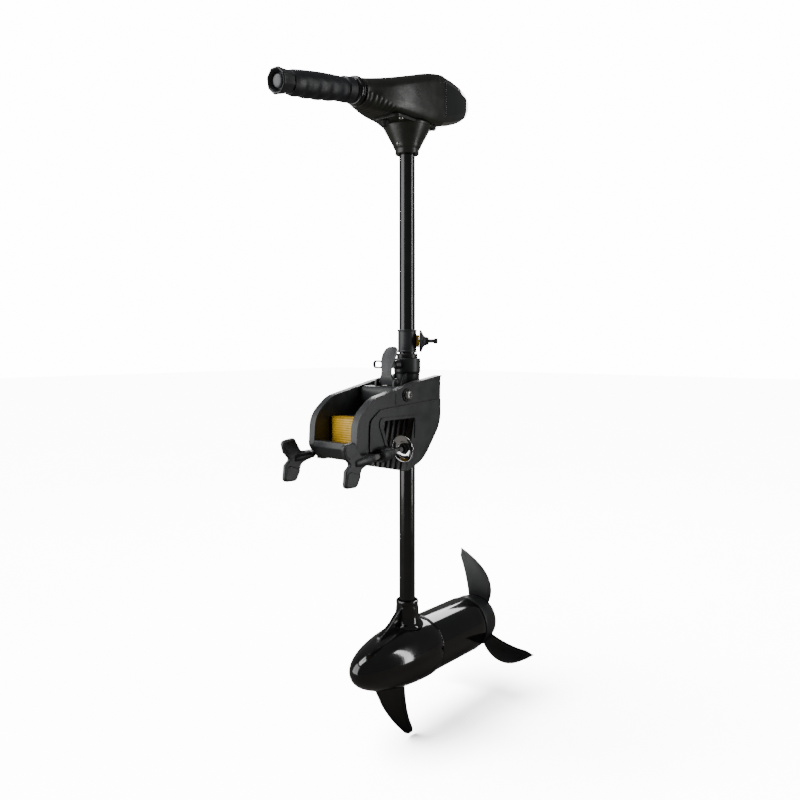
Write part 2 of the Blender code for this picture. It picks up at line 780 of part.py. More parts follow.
def build_head_fittings():
    screws = []
    for place_name, y in zip(("front", "rear"), HEAD_SCREW_Y):
        top = SEAM_Z - 0.0048
        profile = [(0, 0.470), (0.0021, 0.470), (0.0021, top), (0.0038, top), (0.0038, top - 0.002)]
        profile += [(0, top - 0.002)]
        screws.append(
            turned(f"head_screw_{place_name}", profile, STEEL, (HEAD_SCREW_X, y, 0), steps=12)
        )
    outer = SHAFT_R + 0.0115
    profile = [(0, outer), (0.0024, outer), (0.0024, SHAFT_R + 0.0006), (0, SHAFT_R + 0.0006)]
    neck_screw = turned(
        "neck_screw", profile, STEEL, (0, SHAFT_Y, NECK_SCREW_Z), (pi / 2, 0, 0), 12
    )
    gland = turned(
        "cable_gland",
        [
            (0.0030, 0.4600),
            (0.0057, 0.4600),
            (0.0057, 0.4530),
            (0.0072, 0.4530),
            (0.0072, 0.4500),
            (0.0048, 0.4445),
            (0.0030, 0.4445),
        ],
        RUBBER,
        (0, GLAND_Y, 0),
        steps=20,
        ring=True,
    )
    cable = place("motor_cable", rod_mesh(0.0035, -0.3340, 0.478, 12), RUBBER, (0, SHAFT_Y, 0))
    switch = place(
        "speed_switch", rod_mesh(0.015, -0.158, -0.1385, 20), CARBON, (0, TILLER_Y, TILLER_Z), TILLER
    )
    bush = turned(
        "tiller_bush",
        [
            (ARM_R + GAP, 0.0575),
            (0.0172, 0.0575),
            (0.0180, 0.0560),
            (0.0200, 0.0545),
            (0.0212, 0.0530),
            (0.0212, 0.0470),
            (0.0156, 0.0470),
            (0.0156, -0.0120),
            (ARM_R + GAP, -0.0120),
        ],
        SATIN,
        (0, TILLER_Y, TILLER_Z),
        TILLER,
        20,
        ring=True,
    )
    return screws + [neck_screw, gland, cable, switch, bush]


def build_tiller():
    origin = (0, TILLER_Y, TILLER_Z)
    arm = turned(
        "tiller_arm", tube_profile(ARM_R, 0.0095, ARM_INNER_END, 0.170), STEEL, origin, TILLER, ring=True
    )
    rod = place("switch_rod", rod_mesh(ROD_R, -0.1380, 0.150, 12), STEEL, origin, TILLER)
    bore = ARM_R + 0.0004
    grip = turned(
        "grip",
        [
            (bore, GRIP_END),
            (0.0168, GRIP_END),
            (0.0178, GRIP_END - 0.004),
            (0.0180, 0.145),
            (GRIP_R, 0.120),
            (GRIP_R, 0.080),
            (0.0175, GRIP_START + 0.003),
            (0.0168, GRIP_START),
            (bore, GRIP_START),
        ],
        RUBBER,
        origin,
        TILLER,
        20,
        ring=True,
    )
    start = GRIP_END + GAP
    bezel = turned(
        "grip_end",
        [(0, FREE_END), (0.0178, FREE_END), (0.0186, FREE_END - 0.004), (0.0172, start), (0, start)],
        SATIN,
        origin,
        TILLER,
        8,
    )
    bezel.rotation_euler = (Euler(TILLER).to_matrix() @ Matrix.Rotation(pi / 8, 3, "Z")).to_euler()
    carve(bezel, rod_mesh(0.0122, FREE_END - 0.0115, 0.21, 20), origin, TILLER)
    button = place("end_button", rod_mesh(0.0095, FREE_END - 0.0078, FREE_END - 0.0020, 20), BUTTON, origin, TILLER)
    return arm, rod, grip, bezel, button


# ---- motor pod ------------------------------------------------------------------------


def nose_arc(steps=14):
    """The belly and the long nose, from the seam to the tip."""
    centre = NOSE_Y + NOSE_LENGTH
    for step in range(steps + 1):
        angle = pi / 2 * step / steps
        yield BELLY_R * cos(angle) ** 0.9 if step < steps else 0.0, centre - NOSE_LENGTH * sin(angle)


def build_front_housing():
    inner = MOTOR_R - MOTOR_WALL
    seat = BEARING_R + 0.0002
    housing = turned(
        "front_housing",
        [(0, SEAM_Y), (MOTOR_R, SEAM_Y), (BELLY_R - 0.0004, SEAM_Y - 0.008), *nose_arc()],
        GLOSS,
        (0, 0, MOTOR_Z),
        ALONG_Y,
        32,
    )
    hollow = turned(
        "tool_motor_hollow",
        [
            (0, SEAM_Y + 0.002),
            (0.0434, SEAM_Y + 0.002),
            (0.0434, SEAM_Y - 0.003),
            (inner, SEAM_Y - 0.003),
            (inner, 0.036),
            (0.020, 0.0075),
            (seat, 0.0075),
            (seat, 0),
            (0, 0),
        ],
        None,
        (0, 0, MOTOR_Z),
        ALONG_Y,
        32,
    )
    socket = turned(
        "tool_socket",
        [
            (0, SOCKET_TOP),
            (0.0165, SOCKET_TOP),
            (0.0177, SOCKET_TOP - 0.0015),
            (0.0180, SOCKET_TOP - 0.010),
            (0.0192, -0.3230),
            (0.0236, -0.3282),
            (0.0245, -0.3400),
            (0, -0.3400),
        ],
        None,
        (0, SHAFT_Y, 0),
        steps=20,
    )
    combine(housing, socket, "UNION")
    gusset = rounded(
        [
            (SHAFT_Y - 0.008, -0.298, 0),
            (SHAFT_Y - 0.020, -0.302, 0.004),
            (0.036, -0.322, 0.020),
            (0.008, -0.3350, 0.004),
            (0.008, -0.345, 0),
            (SHAFT_Y - 0.008, -0.345, 0),
        ]
    )
    carve(housing, plate_mesh(gusset, 0.006), (0, 0, 0), SIDE, "UNION")
    skeg = rounded(
        [
            (-0.004, -0.410, 0),
            (0.022, -0.460, 0.050),
            (0.056, -0.503, 0.016),
            (0.072, SKEG_TIP_Z, 0.006),
            (0.094, SKEG_TIP_Z, 0.005),
            (0.081, -0.460, 0.040),
            (0.072, -0.410, 0),
        ]
    )
    carve(housing, plate_mesh(skeg, 0.005), (0, 0, 0), SIDE, "UNION")
    combine(housing, hollow)
    bore, step = SHAFT_R + GAP, SHAFT_BOTTOM - GAP
    well = turned(
        "tool_socket_bore",
        [(0, -0.28), (bore, -0.28), (bore, step), (0.0060, step), (0.0060, -0.36), (0, -0.36)],
        None,
        (0, SHAFT_Y, 0),
        steps=20,
    )
    combine(housing, well)
    return housing


def build_rear_housing():
    inner, start = MOTOR_R - MOTOR_WALL, SEAM_Y + GAP
    return turned(
        "rear_housing",
        [
            (0.0105, REAR_Y),
            (0.0425, REAR_Y),
            (0.0440, REAR_Y - 0.003),
            (MOTOR_R, REAR_Y - 0.012),
            (MOTOR_R, start),
            (inner, start),
            (inner, 0.196),
            (0.030, 0.205),
            (BEARING_R + 0.0002, 0.205),
            (BEARING_R + 0.0002, 0.2128),
            (0.0085, 0.2128),
            (0.0085, 0.2160),
            (0.0105, 0.2160),
        ],
        GLOSS,
        (0, 0, MOTOR_Z),
        ALONG_Y,
        32,
        ring=True,
    )


def ring_piece(name, look, outer, inner, low, high, steps=20):
    return turned(
        name, tube_profile(outer, inner, low, high), look, (0, 0, MOTOR_Z), ALONG_Y, steps, ring=True
    )


def magnet_outline():
    outer, inner, half = 0.0406, 0.0363, radians(62)
    outline = [(outer * sin(half * t / 6), outer * cos(half * t / 6)) for t in range(-6, 7)]
    return outline + [(inner * sin(half * t / 6), inner * cos(half * t / 6)) for t in range(6, -7, -1)]


def build_motor_inside():
    pieces = [
        ring_piece("housing_seal", RUBBER, 0.0432, 0.0413, SEAM_Y - 0.0027, SEAM_Y - 0.0003, 32),
        ring_piece("front_bearing", STEEL, BEARING_R, AXLE_R + 0.0002, 0.0003, 0.0003 + BEARING_W),
        ring_piece("rear_bearing", STEEL, BEARING_R, AXLE_R + 0.0002, 0.2054, 0.2054 + BEARING_W),
        ring_piece("shaft_seal", RUBBER, 0.0102, AXLE_R + GAP, 0.2163, 0.2240),
        ring_piece("brush_plate", BOARD, 0.0405, 0.0165, 0.0400, 0.0425),
    ]
    middle, length = sum(ARMATURE) / 2, ARMATURE[1] - ARMATURE[0]
    for name, turn in (("magnet_upper", pi), ("magnet_lower", 0.0)):
        mesh = plate_mesh(magnet_outline(), length)
        rotation = (Matrix.Rotation(turn, 3, "Y") @ Euler(ALONG_Y).to_matrix()).to_euler()
        pieces.append(place(name, mesh, FERRITE, (0, middle, MOTOR_Z), rotation))
    for name, sign in (("brush_left", -1), ("brush_right", 1)):
        corners = sorted_corners((sign * 0.0144, 0.0430, -0.004), (sign * 0.0290, 0.0520, 0.004))
        pieces.append(place(name, span_mesh(*corners), CARBON, (0, 0, MOTOR_Z)))
    return pieces


# ---- rotor and propeller --------------------------------------------------------------


def build_rotor():
    low, high = ARMATURE
    axle = place("rotor_shaft", rod_mesh(AXLE_R, 0.0006, HUB_Y[1] - 0.0035, 20), STEEL, (0, 0, MOTOR_Z), ALONG_Y)
    pin_place = (0, HUB_Y[0] + 0.0025, MOTOR_Z)
    carve(axle, rod_mesh(0.0018, -0.01, 0.01, 12), pin_place, ALONG_X)
    bore = AXLE_R + GAP
    armature = turned(
        "armature",
        [
            (bore, high),
            (0.024, high),
            (0.029, high - 0.006),
            (0.029, high - 0.012),
            (0.0350, high - 0.012),
            (0.0350, low + 0.012),
            (0.029, low + 0.012),
            (0.029, low + 0.006),
            (0.024, low),
            (bore, low),
        ],
        COPPER,
        (0, 0, MOTOR_Z),
        ALONG_Y,
        20,
        ring=True,
    )
    commutator = ring_piece("commutator", COPPER, 0.0140, bore, 0.0390, 0.0565)
    pin = place("drive_pin", rod_mesh(0.0015, -0.0128, 0.0128, 12), STEEL, pin_place, ALONG_X)
    nut = ring_piece("prop_nut", STEEL, 0.0085, bore / cos(pi / 6), HUB_Y[1] - 0.0127, HUB_Y[1] - 0.0045, 6)
    return axle, armature, commutator, pin, nut


def blade_mesh(stations=7, across=4):
    """The camber surface of one blade, which points along +X from the motor's axis."""
    made = bmesh.new()
    rows = []
    root = HUB_R - 0.006
    for i in range(stations):
        t = i / (stations - 1)
        radius = root + (PROP_R - root) * t
        chord = 0.036 + 0.014 * sin(pi * min(t * 1.15, 1.0)) - 0.030 * t**6
        pitch = atan2(PROP_PITCH, 2 * pi * radius)
        sweep = 0.50 * t**1.6
        row = []
        for j in range(across):
            v = j / (across - 1) - 0.5
            reach = radius - 0.012 * t**3 * (2 * v) ** 2
            angle = sweep + v * chord * cos(pitch) / radius
            along = -v * chord * sin(pitch) + 0.003 * (1 - (2 * v) ** 2)
            row.append(made.verts.new((reach * cos(angle), along, reach * sin(angle))))
        rows.append(row)
    for lower, upper in zip(rows, rows[1:]):
        for j in range(across - 1):
            made.faces.new((lower[j], lower[j + 1], upper[j + 1], upper[j]))
    bmesh.ops.recalc_face_normals(made, faces=made.faces)
    return finished(made, "blade")


def build_propeller():
    low, high = HUB_Y
    bore = AXLE_R + GAP
    propeller = turned(
        "propeller",
        [
            (bore, high - 0.013),
            (0.0120, high - 0.013),
            (0.0130, high - 0.001),
            (0.0170, high),
            (0.0290, high - 0.003),
            (0.0370, high - 0.010),
            (0.0415, high - 0.022),
            (HUB_R, high - 0.034),
            (HUB_R, low),
            (bore, low),
        ],
        PROP,
        (0, 0, MOTOR_Z),
        ALONG_Y,
        32,
        ring=True,
    )
    for index, degrees in enumerate(BLADE_ANGLES):
        blade = place(f"tool_blade_{index}", blade_mesh(), None, (0, sum(HUB_Y) / 2, MOTOR_Z))
        blade.rotation_euler = (0, -radians(degrees), 0)
        shell = blade.modifiers.new("thickness", "SOLIDIFY")
        shell.thickness, shell.offset = 0.0032, 0
        combine(propeller, blade, "UNION")
    carve(propeller, rod_mesh(bore, 0.20, high - 0.012, 20), (0, 0, MOTOR_Z), ALONG_Y)
    slot = ((-0.0132, low - 0.001, MOTOR_Z - 0.0018), (0.0132, low + 0.0045, MOTOR_Z + 0.0018))
    carve(propeller, span_mesh(*slot))
    return propeller


# ---- assembly -------------------------------------------------------------------------


def main():
    bracket = pivot_empty("bracket_frame", (0, 0, 0))
    for side, sign in (("left", -1), ("right", 1)):
        carry(bracket, build_cheek(side, sign))
    carry(bracket, build_front_bridge(), build_saddle(), build_bumper(), *build_pivot())

    for side, sign in (("left", -1), ("right", 1)):
        pad, screw, wing = build_clamp(side, sign)
        feed = pivot_empty(f"clamp_feed_{side}", pad.location, bracket, CLAMP)
        carry(feed, pad)
        carry(pivot_empty(f"clamp_turn_{side}", pad.location, feed, CLAMP), screw, wing)

    tilt = pivot_empty("tilt_axis", (0, PIVOT_Y, PIVOT_Z), bracket)
    carry(tilt, build_swivel(), *build_bushings())
    lever, lever_pin = build_lever()
    carry(tilt, lever_pin)
    carry(pivot_empty("lever_axis", (0, LEVER_Y, LEVER_Z), tilt), lever)
    lock_y, lock_z = at_pivot(LOCK_R, LOCK_ANGLE)
    carry(pivot_empty("lock_axis", (0, lock_y, lock_z), tilt, (LOCK_ANGLE, 0, 0)), build_lock_pin())
    carry(pivot_empty("tension_axis", (0, 0.0534, TENSION_Z), tilt), build_tension_knob())

    steer = pivot_empty("steer_axis", (0, SHAFT_Y, COLLAR_Z[0]), tilt)
    collar, insert, knob, screw = build_collar()
    carry(steer, collar, insert)
    carry(pivot_empty("collar_knob_axis", (0, SHAFT_Y, KNOB_Z), steer, KNOB), knob, screw)

    column = pivot_empty("depth_axis", (0, SHAFT_Y, 0), steer)
    carry(column, build_shaft(), build_head_cover(), *build_meter_panel(), build_head_base())
    carry(column, *build_head_fittings())
    carry(column, build_front_housing(), build_rear_housing(), *build_motor_inside())

    arm, rod, grip, bezel, button = build_tiller()
    origin = (0, TILLER_Y, TILLER_Z)
    slide = pivot_empty("tiller_slide", origin, column, TILLER)
    carry(slide, arm)
    twist = pivot_empty("grip_axis", origin, slide, TILLER)
    carry(twist, grip, bezel)
    carry(pivot_empty("button_axis", origin, twist, TILLER), button)
    carry(pivot_empty("switch_axis", origin, column, TILLER), rod)

    spin = pivot_empty("rotor_axis", (0, 0, MOTOR_Z), column)
    carry(spin, *build_rotor(), build_propeller())


main()
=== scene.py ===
"""The trolling motor's looks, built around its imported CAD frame.

Metres, +Z up, the tiller to -Y and the propeller to +Y. Outlines and profiles given to mm() are in
millimetres. Each piece is made in place and rides on a CAD body.
"""

from math import atan2, cos, exp, pi, radians, sin, tan

import bmesh
import bpy
from mathutils import Euler, Matrix, Vector


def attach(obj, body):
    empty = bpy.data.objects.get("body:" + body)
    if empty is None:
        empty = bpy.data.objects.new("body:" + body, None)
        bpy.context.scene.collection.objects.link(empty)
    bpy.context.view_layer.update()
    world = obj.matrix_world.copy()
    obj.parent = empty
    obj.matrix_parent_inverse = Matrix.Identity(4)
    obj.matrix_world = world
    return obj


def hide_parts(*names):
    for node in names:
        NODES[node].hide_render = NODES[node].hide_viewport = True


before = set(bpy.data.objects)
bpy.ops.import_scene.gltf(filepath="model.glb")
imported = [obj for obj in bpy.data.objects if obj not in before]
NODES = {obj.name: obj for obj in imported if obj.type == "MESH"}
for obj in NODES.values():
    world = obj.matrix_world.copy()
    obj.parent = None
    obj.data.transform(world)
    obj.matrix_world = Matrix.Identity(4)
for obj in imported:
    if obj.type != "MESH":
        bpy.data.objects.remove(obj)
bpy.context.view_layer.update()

ALONG_Y = (-pi / 2, 0, 0)
SHAFT_Y = 0.075
MOTOR_Z = -0.3755
TENSION_Z = 0.079
COLLAR_Z = 0.116
NECK_SCREW_Z = 0.425
GLAND_Y = 0.0215
TILLER_Y, TILLER_Z = 0.004, 0.4905
TILLER_DROP = radians(9.5)
CLAMP_SLOPE = radians(5.5)
KNOB_DIRECTION = radians(40.5)


def ramp(value, width):
    """0 below zero, 1 beyond the width and straight between."""
    return min(1.0, max(0.0, value / width))


def mm(*points):
    """Points given in millimetres."""
    return [tuple(value / 1000 for value in point) for point in points]


def matrix(location=(0, 0, 0), rotation=(0, 0, 0)):
    return Matrix.LocRotScale(Vector(location), Euler(rotation), None)


TILLER = matrix((0, TILLER_Y, TILLER_Z), (pi / 2 + TILLER_DROP, 0, 0))
MOTOR = matrix((0, 0, MOTOR_Z), ALONG_Y)
COLUMN = matrix((0, SHAFT_Y, 0))
KNOB = matrix((0, SHAFT_Y, COLLAR_Z), (0, pi / 2, KNOB_DIRECTION))


# ---- materials ----


class Look:
    """One procedural material: a base colour with mottling, grain, softened edges and paler corners,
    partly wear and partly painted highlight.
    """

    def __init__(self, name, color, rough, metal=0.0):
        self.material = bpy.data.materials.new(name)
        self.material.use_nodes = True
        self.tree = self.material.node_tree
        self.shader = self.tree.nodes["Principled BSDF"]
        self.shader.inputs["Metallic"].default_value = metal
        self.shader.inputs["Base Color"].default_value = (*color, 1)
        self.shader.inputs["Roughness"].default_value = rough
        self.place = self.node("ShaderNodeTexCoord").outputs["Object"]
        self.normal = None

    def node(self, kind, **values):
        made = self.tree.nodes.new(kind)
        for name, value in values.items():
            setattr(made, name, value)
        return made

    def link(self, output, entry):
        self.tree.links.new(output, entry)

    def stretched(self, scale):
        mapping = self.node("ShaderNodeMapping")
        mapping.inputs["Scale"].default_value = scale
        self.link(self.place, mapping.inputs["Vector"])
        return mapping.outputs["Vector"]

    def noise(self, scale, detail=3.0, vector=None):
        made = self.node("ShaderNodeTexNoise")
        made.inputs["Scale"].default_value = scale
        made.inputs["Detail"].default_value = detail
        self.link(vector or self.place, made.inputs["Vector"])
        return made.outputs["Fac"]

    def span(self, value, low, high, start=0.3, end=0.7):
        made = self.node("ShaderNodeMapRange")
        for name, number in (("From Min", start), ("From Max", end), ("To Min", low), ("To Max", high)):
            made.inputs[name].default_value = number
        self.link(value, made.inputs["Value"])
        return made.outputs["Result"]

    def mix(self, factor, first, second):
        made = self.node("ShaderNodeMix", data_type="RGBA")
        self.link(factor, made.inputs["Factor"])
        for entry, value in ((made.inputs["A"], first), (made.inputs["B"], second)):
            if isinstance(value, tuple):
                entry.default_value = (*value, 1)
            else:
                self.link(value, entry)
        return made.outputs["Result"]

    def bump(self, height, distance, strength=1.0):
        made = self.node("ShaderNodeBump")
        made.inputs["Distance"].default_value = distance
        made.inputs["Strength"].default_value = strength
        self.link(height, made.inputs["Height"])
        if self.normal:
            self.link(self.normal, made.inputs["Normal"])
        self.normal = made.outputs["Normal"]

    def finish(self, color=None, rough=None, coat=0.0, coat_rough=0.1):
        if color:
            self.link(color, self.shader.inputs["Base Color"])
        if rough:
            self.link(rough, self.shader.inputs["Roughness"])
        if self.normal:
            self.link(self.normal, self.shader.inputs["Normal"])
        self.shader.inputs["Coat Weight"].default_value = coat
        self.shader.inputs["Coat Roughness"].default_value = coat_rough
        return self.material


def shade(color, factor):
    return tuple(min(1.0, channel * factor) for channel in color)


def soft_edges(look, radius):
    """Rounds every edge in the shading and returns how near a point is to one."""
    bevel = look.node("ShaderNodeBevel", samples=4)
    bevel.inputs["Radius"].default_value = radius
    geometry = look.node("ShaderNodeNewGeometry")
    product = look.node("ShaderNodeVectorMath", operation="DOT_PRODUCT")
    look.link(bevel.outputs["Normal"], product.inputs[0])
    look.link(geometry.outputs["Normal"], product.inputs[1])
    look.normal = bevel.outputs["Normal"]
    return look.span(product.outputs["Value"], 1.0, 0.0, 0.80, 0.995)


def moulded(
    name, color, rough, grain=1400.0, depth=0.00005, edge_wear_and_highlight=1.9, spread=0.07, radius=0.0006, mottle=55.0,
):
    """Moulded plastic: fine spark-eroded grain, uneven sheen and paler edges, partly rubbed wear and
    partly painted highlight where the chamfers catch light.
    """
    look = Look(name, color, rough)
    edge = soft_edges(look, radius)
    clouds = look.noise(mottle, 4.0)
    fine = look.noise(grain, 2.0)
    look.bump(fine, depth)
    body = look.mix(look.span(clouds, 0.0, 1.0), shade(color, 0.82), shade(color, 1.2))
    scuffs = look.noise(260.0, 5.0, look.stretched((1.0, 1.0, 0.25)))
    # The edges grow paler under the scuff noise: partly rubbed wear, partly painted highlight where the
    # chamfers catch light.
    wear_and_highlight_mask = look.node("ShaderNodeMath", operation="MULTIPLY")
    look.link(edge, wear_and_highlight_mask.inputs[0])
    look.link(look.span(scuffs, 0.15, 0.9, 0.35, 0.65), wear_and_highlight_mask.inputs[1])
    tone = look.mix(wear_and_highlight_mask.outputs["Value"], body, shade(color, edge_wear_and_highlight))
    return look.finish(tone, look.span(clouds, rough - spread, rough + spread))


def painted(name, color, rough, coat=0.6, peel=180.0, depth=0.00002):
    """Sprayed gloss paint: orange peel, faint hazing, a clear coat and paler edges painted as highlight.
    """
    look = Look(name, color, rough)
    edge = soft_edges(look, 0.0008)
    haze = look.noise(38.0, 6.0)
    look.bump(look.noise(peel, 1.5), depth)
    body = look.mix(look.span(haze, 0.0, 1.0), shade(color, 0.8), shade(color, 1.25))
    # Every edge is painted 2.4 times paler: a painted highlight where the chamfers catch light.
    tone = look.mix(edge, body, shade(color, 2.4))
    return look.finish(tone, look.span(haze, rough * 0.7, rough * 1.5), coat, 0.04)


def metal(name, color, rough, lines=(1.0, 1.0, 1.0), depth=0.00001, scale=900.0, dull=0.6):
    """Bare or plated metal with the marks of its machining."""
    look = Look(name, color, rough, 1.0)
    soft_edges(look, 0.0003)
    marks = look.noise(scale, 4.0, look.stretched(lines))
    stain = look.noise(70.0, 5.0)
    look.bump(marks, depth)
    tone = look.mix(look.span(stain, 0.0, 1.0), shade(color, dull), color)
    return look.finish(tone, look.span(marks, rough * 0.6, rough * 1.6))


def winding(name):
    """Enamelled copper wire lying in turns along the armature."""
    look = Look(name, (0.62, 0.24, 0.09), 0.32, 1.0)
    wave = look.node("ShaderNodeTexWave", bands_direction="X")
    wave.inputs["Scale"].default_value = 420.0
    wave.inputs["Distortion"].default_value = 1.2
    look.link(look.place, wave.inputs["Vector"])
    look.bump(wave.outputs["Fac"], 0.0002)
    # The copper is darker where the bump dips between turns: painted shade in the grooves.
    tone = look.mix(wave.outputs["Fac"], (0.25, 0.07, 0.02), (0.72, 0.30, 0.12))
    return look.finish(tone, look.span(look.noise(90.0), 0.25, 0.45))


def laminate(name, color, fleck):
    """Glass-epoxy board with its weave showing through."""
    look = Look(name, color, 0.4)
    checks = look.node("ShaderNodeTexChecker")
    checks.inputs["Scale"].default_value = 1400.0
    look.link(look.place, checks.inputs["Vector"])
    look.bump(checks.outputs["Fac"], 0.00002)
    tone = look.mix(checks.outputs["Fac"], color, fleck)
    return look.finish(tone, look.span(look.noise(60.0), 0.3, 0.5))


# Each look's edge factor below sets how much paler its edges are: partly wear, partly painted highlight.
SATIN = moulded("satin_charcoal", (0.020, 0.022, 0.024), 0.40, edge_wear_and_highlight=2.6)
HEAD = moulded("satin_olive_black", (0.0165, 0.018, 0.0140), 0.34, grain=1900.0, depth=0.00003, edge_wear_and_highlight=2.2)
GLOSS = painted("gloss_black_paint", (0.0035, 0.0035, 0.0036), 0.10)
TUBE = painted("tube_black", (0.0060, 0.0062, 0.0066), 0.17, coat=0.35, peel=120.0)
PANEL = painted("smoked_gloss", (0.0070, 0.0085, 0.0095), 0.07, coat=0.9, peel=60.0, depth=0.00001)
RUBBER = moulded(
    "grip_rubber", (0.012, 0.0135, 0.017), 0.47, grain=900.0, depth=0.00009, edge_wear_and_highlight=1.5, spread=0.1,
)
SEAL = moulded("seal_rubber", (0.010, 0.010, 0.010), 0.60, edge_wear_and_highlight=1.4)
BUTTON = moulded("button_grey", (0.085, 0.088, 0.092), 0.42, grain=1100.0, depth=0.00008, edge_wear_and_highlight=1.5)
BLADE = moulded("blade_nylon", (0.0125, 0.0128, 0.0140), 0.40, grain=700.0, depth=0.00005, mottle=28.0)
YELLOW = moulded("yellow_plastic", (0.62, 0.36, 0.012), 0.33, grain=1500.0, depth=0.00003, edge_wear_and_highlight=1.15)
NYLON = moulded("black_acetal", (0.0100, 0.0100, 0.0105), 0.36, edge_wear_and_highlight=1.6)
CARBON = moulded("carbon_block", (0.020, 0.020, 0.021), 0.62, grain=2200.0, depth=0.00012, edge_wear_and_highlight=1.6)
FERRITE = moulded("sintered_ferrite", (0.055, 0.055, 0.060), 0.55, grain=1800.0, depth=0.0001, edge_wear_and_highlight=1.7)
CHROME = metal("chrome_plate", (0.82, 0.82, 0.83), 0.07, scale=400.0, depth=0.000004, dull=0.9)
STEEL = metal("stainless_steel", (0.50, 0.50, 0.49), 0.26, lines=(1.0, 0.12, 1.0))
COPPER = winding("copper_winding")
BOARD = laminate("glass_epoxy", (0.015, 0.10, 0.045), (0.03, 0.17, 0.07))


# ---- building blocks ----


def placed(name, data):
    """A new object in the scene."""
    obj = bpy.data.objects.new(name, data)
    bpy.context.scene.collection.objects.link(obj)
    return obj


def finished(made):
    bmesh.ops.recalc_face_normals(made, faces=made.faces)
    mesh = bpy.data.meshes.new("shape")
    made.to_mesh(mesh)
    made.free()
    return mesh


def rounded(corners, steps=8):
    """The outline through (a, b, radius) corners, each rounded by an arc of that radius."""
    outline = []
    for index, (a, b, radius) in enumerate(corners):
        corner = Vector((a, b))
        before = Vector(corners[index - 1][:2]) - corner
        after = Vector(corners[(index + 1) % len(corners)][:2]) - corner
        if radius == 0:
            outline.append(corner)
            continue
        half = before.angle(after) / 2
        reach = min(radius / tan(half), before.length * 0.48, after.length * 0.48)
        start = corner + before.normalized() * reach
        end = corner + after.normalized() * reach
        for step in range(steps + 1):
            t = step / steps
            outline.append(start * (1 - t) ** 2 + corner * 2 * t * (1 - t) + end * t**2)
    return outline


def softened(profile, radius=0.0006, steps=4):
    """An open profile with each inner corner rounded, for turning."""
    points = [Vector(point) for point in profile]
    out = [points[0]]
    for before, corner, after in zip(points, points[1:], points[2:]):
        reach = min(radius, (before - corner).length * 0.45, (after - corner).length * 0.45)
        start = corner + (before - corner).normalized() * reach
        end = corner + (after - corner).normalized() * reach
        for step in range(steps + 1):
            t = step / steps
            out.append(start * (1 - t) ** 2 + corner * 2 * t * (1 - t) + end * t**2)
    return out + [points[-1]]


def lofted(rows, ring=False):
    """A skin over rows of points; a row of one point closes to a tip, and a ring joins last to first."""
    made = bmesh.new()
    made_rows = [[made.verts.new(point) for point in row] for row in rows]
    pairs = list(zip(made_rows, made_rows[1:]))
    if ring:
        pairs.append((made_rows[-1], made_rows[0]))
    for first, second in pairs:
        count = max(len(first), len(second))
        for i in range(count):
            j = (i + 1) % count
            corners = [
                first[i % len(first)], first[j % len(first)], second[j % len(second)],
                second[i % len(second)],
            ]
            corners = list(dict.fromkeys(corners))
            if len(corners) > 2:
                made.faces.new(corners)
    if not ring:
        for row in (made_rows[0], made_rows[-1]):
            if len(row) > 2:
                made.faces.new(row)
    return finished(made)


def turned(profile, steps=96, soft=0.0006, wobble=None):
    """A turned form about local Z from (radius, height) points; wobble scales the radius by angle.

    A profile that starts off the axis closes on itself as a ring.
    """
    ring = profile[0][0] > 0
    points = softened(profile + [profile[0]], soft)[1:-1] if ring else softened(profile, soft)
    rows = []
    for radius, height in points:
        if radius < 1e-6:
            rows.append([(0, 0, height)])
            continue
        row = []
        for step in range(steps):
            angle = 2 * pi * step / steps
            reach = radius * (wobble(angle, height) if wobble else 1.0)
            row.append((reach * cos(angle), reach * sin(angle), height))
        rows.append(row)
    return lofted(rows, ring)


def extruded(outline, low, high, facing="side"):
    """A flat outline given depth. side: (y, z) through X; plan: (x, y) through Z."""
    made = bmesh.new()
    lower, upper = (
        [made.verts.new((depth, a, b) if facing == "side" else (a, b, depth)) for a, b in outline]
        for depth in (low, high)
    )
    for i in range(len(lower)):
        j = (i + 1) % len(lower)
        made.faces.new((lower[i], lower[j], upper[j], upper[i]))
    made.faces.new(lower)
    made.faces.new(upper)
    return finished(made)


def slab(outline, half, facing="side"):
    """An outline extruded both ways from the middle."""
    return extruded(outline, -half, half, facing)


def rod(radius, low, high, steps=48):
    """A plain cylinder about local Z."""
    return turned([(0, high), (radius, high), (radius, low), (0, low)], steps)


def joined(*meshes):
    made = bmesh.new()
    for mesh in meshes:
        made.from_mesh(mesh)
    whole = bpy.data.meshes.new("joined")
    made.to_mesh(whole)
    made.free()
    return whole


def moved(mesh, *transforms):
    for transform in transforms:
        mesh.transform(transform)
    return mesh


def spline_value(a, b, c, d, t):
    """Catmull-Rom between b and c."""
    return 0.5 * (
        2 * b + (c - a) * t + (2 * a - 5 * b + 4 * c - d) * t * t + (3 * b - a - 3 * c + d) * t**3
    )


def smooth_rows(stations, steps):
    """The stations with steps values between each two, on a smooth curve."""
    out = []
    last = len(stations) - 1
    for index in range(last):
        around = [stations[max(0, min(last, index + k))] for k in (-1, 0, 1, 2)]
        for step in range(steps):
            out.append(tuple(spline_value(*values, step / steps) for values in zip(*around)))
    return out + [tuple(stations[-1])]


def piece(name, mesh, look, body, node=None, bevel=0.0, angle=32, segments=3, slot=None):
    """A finished piece: it rides on its body and may stand for a CAD node."""
    obj = placed(name, mesh)
    mesh.materials.append(look)
    mesh.shade_smooth()
    if bevel:
        modifier = obj.modifiers.new("rounded_edges", "BEVEL")
        modifier.width, modifier.segments = bevel, segments
        modifier.limit_method, modifier.angle_limit = "ANGLE", radians(angle)
        modifier.harden_normals = True
    else:
        mesh.set_sharp_from_angle(angle=radians(angle))
    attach(obj, body)
    if node:
        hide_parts(node)
    return obj


def lathe(name, profile, at, look, body, node=None, steps=96, soft=0.0006, wobble=None, **finish):
    """A turned piece in its place."""
    mesh = moved(turned(profile, steps, soft, wobble), at)
    return piece(name, mesh, look, body, node, **finish)


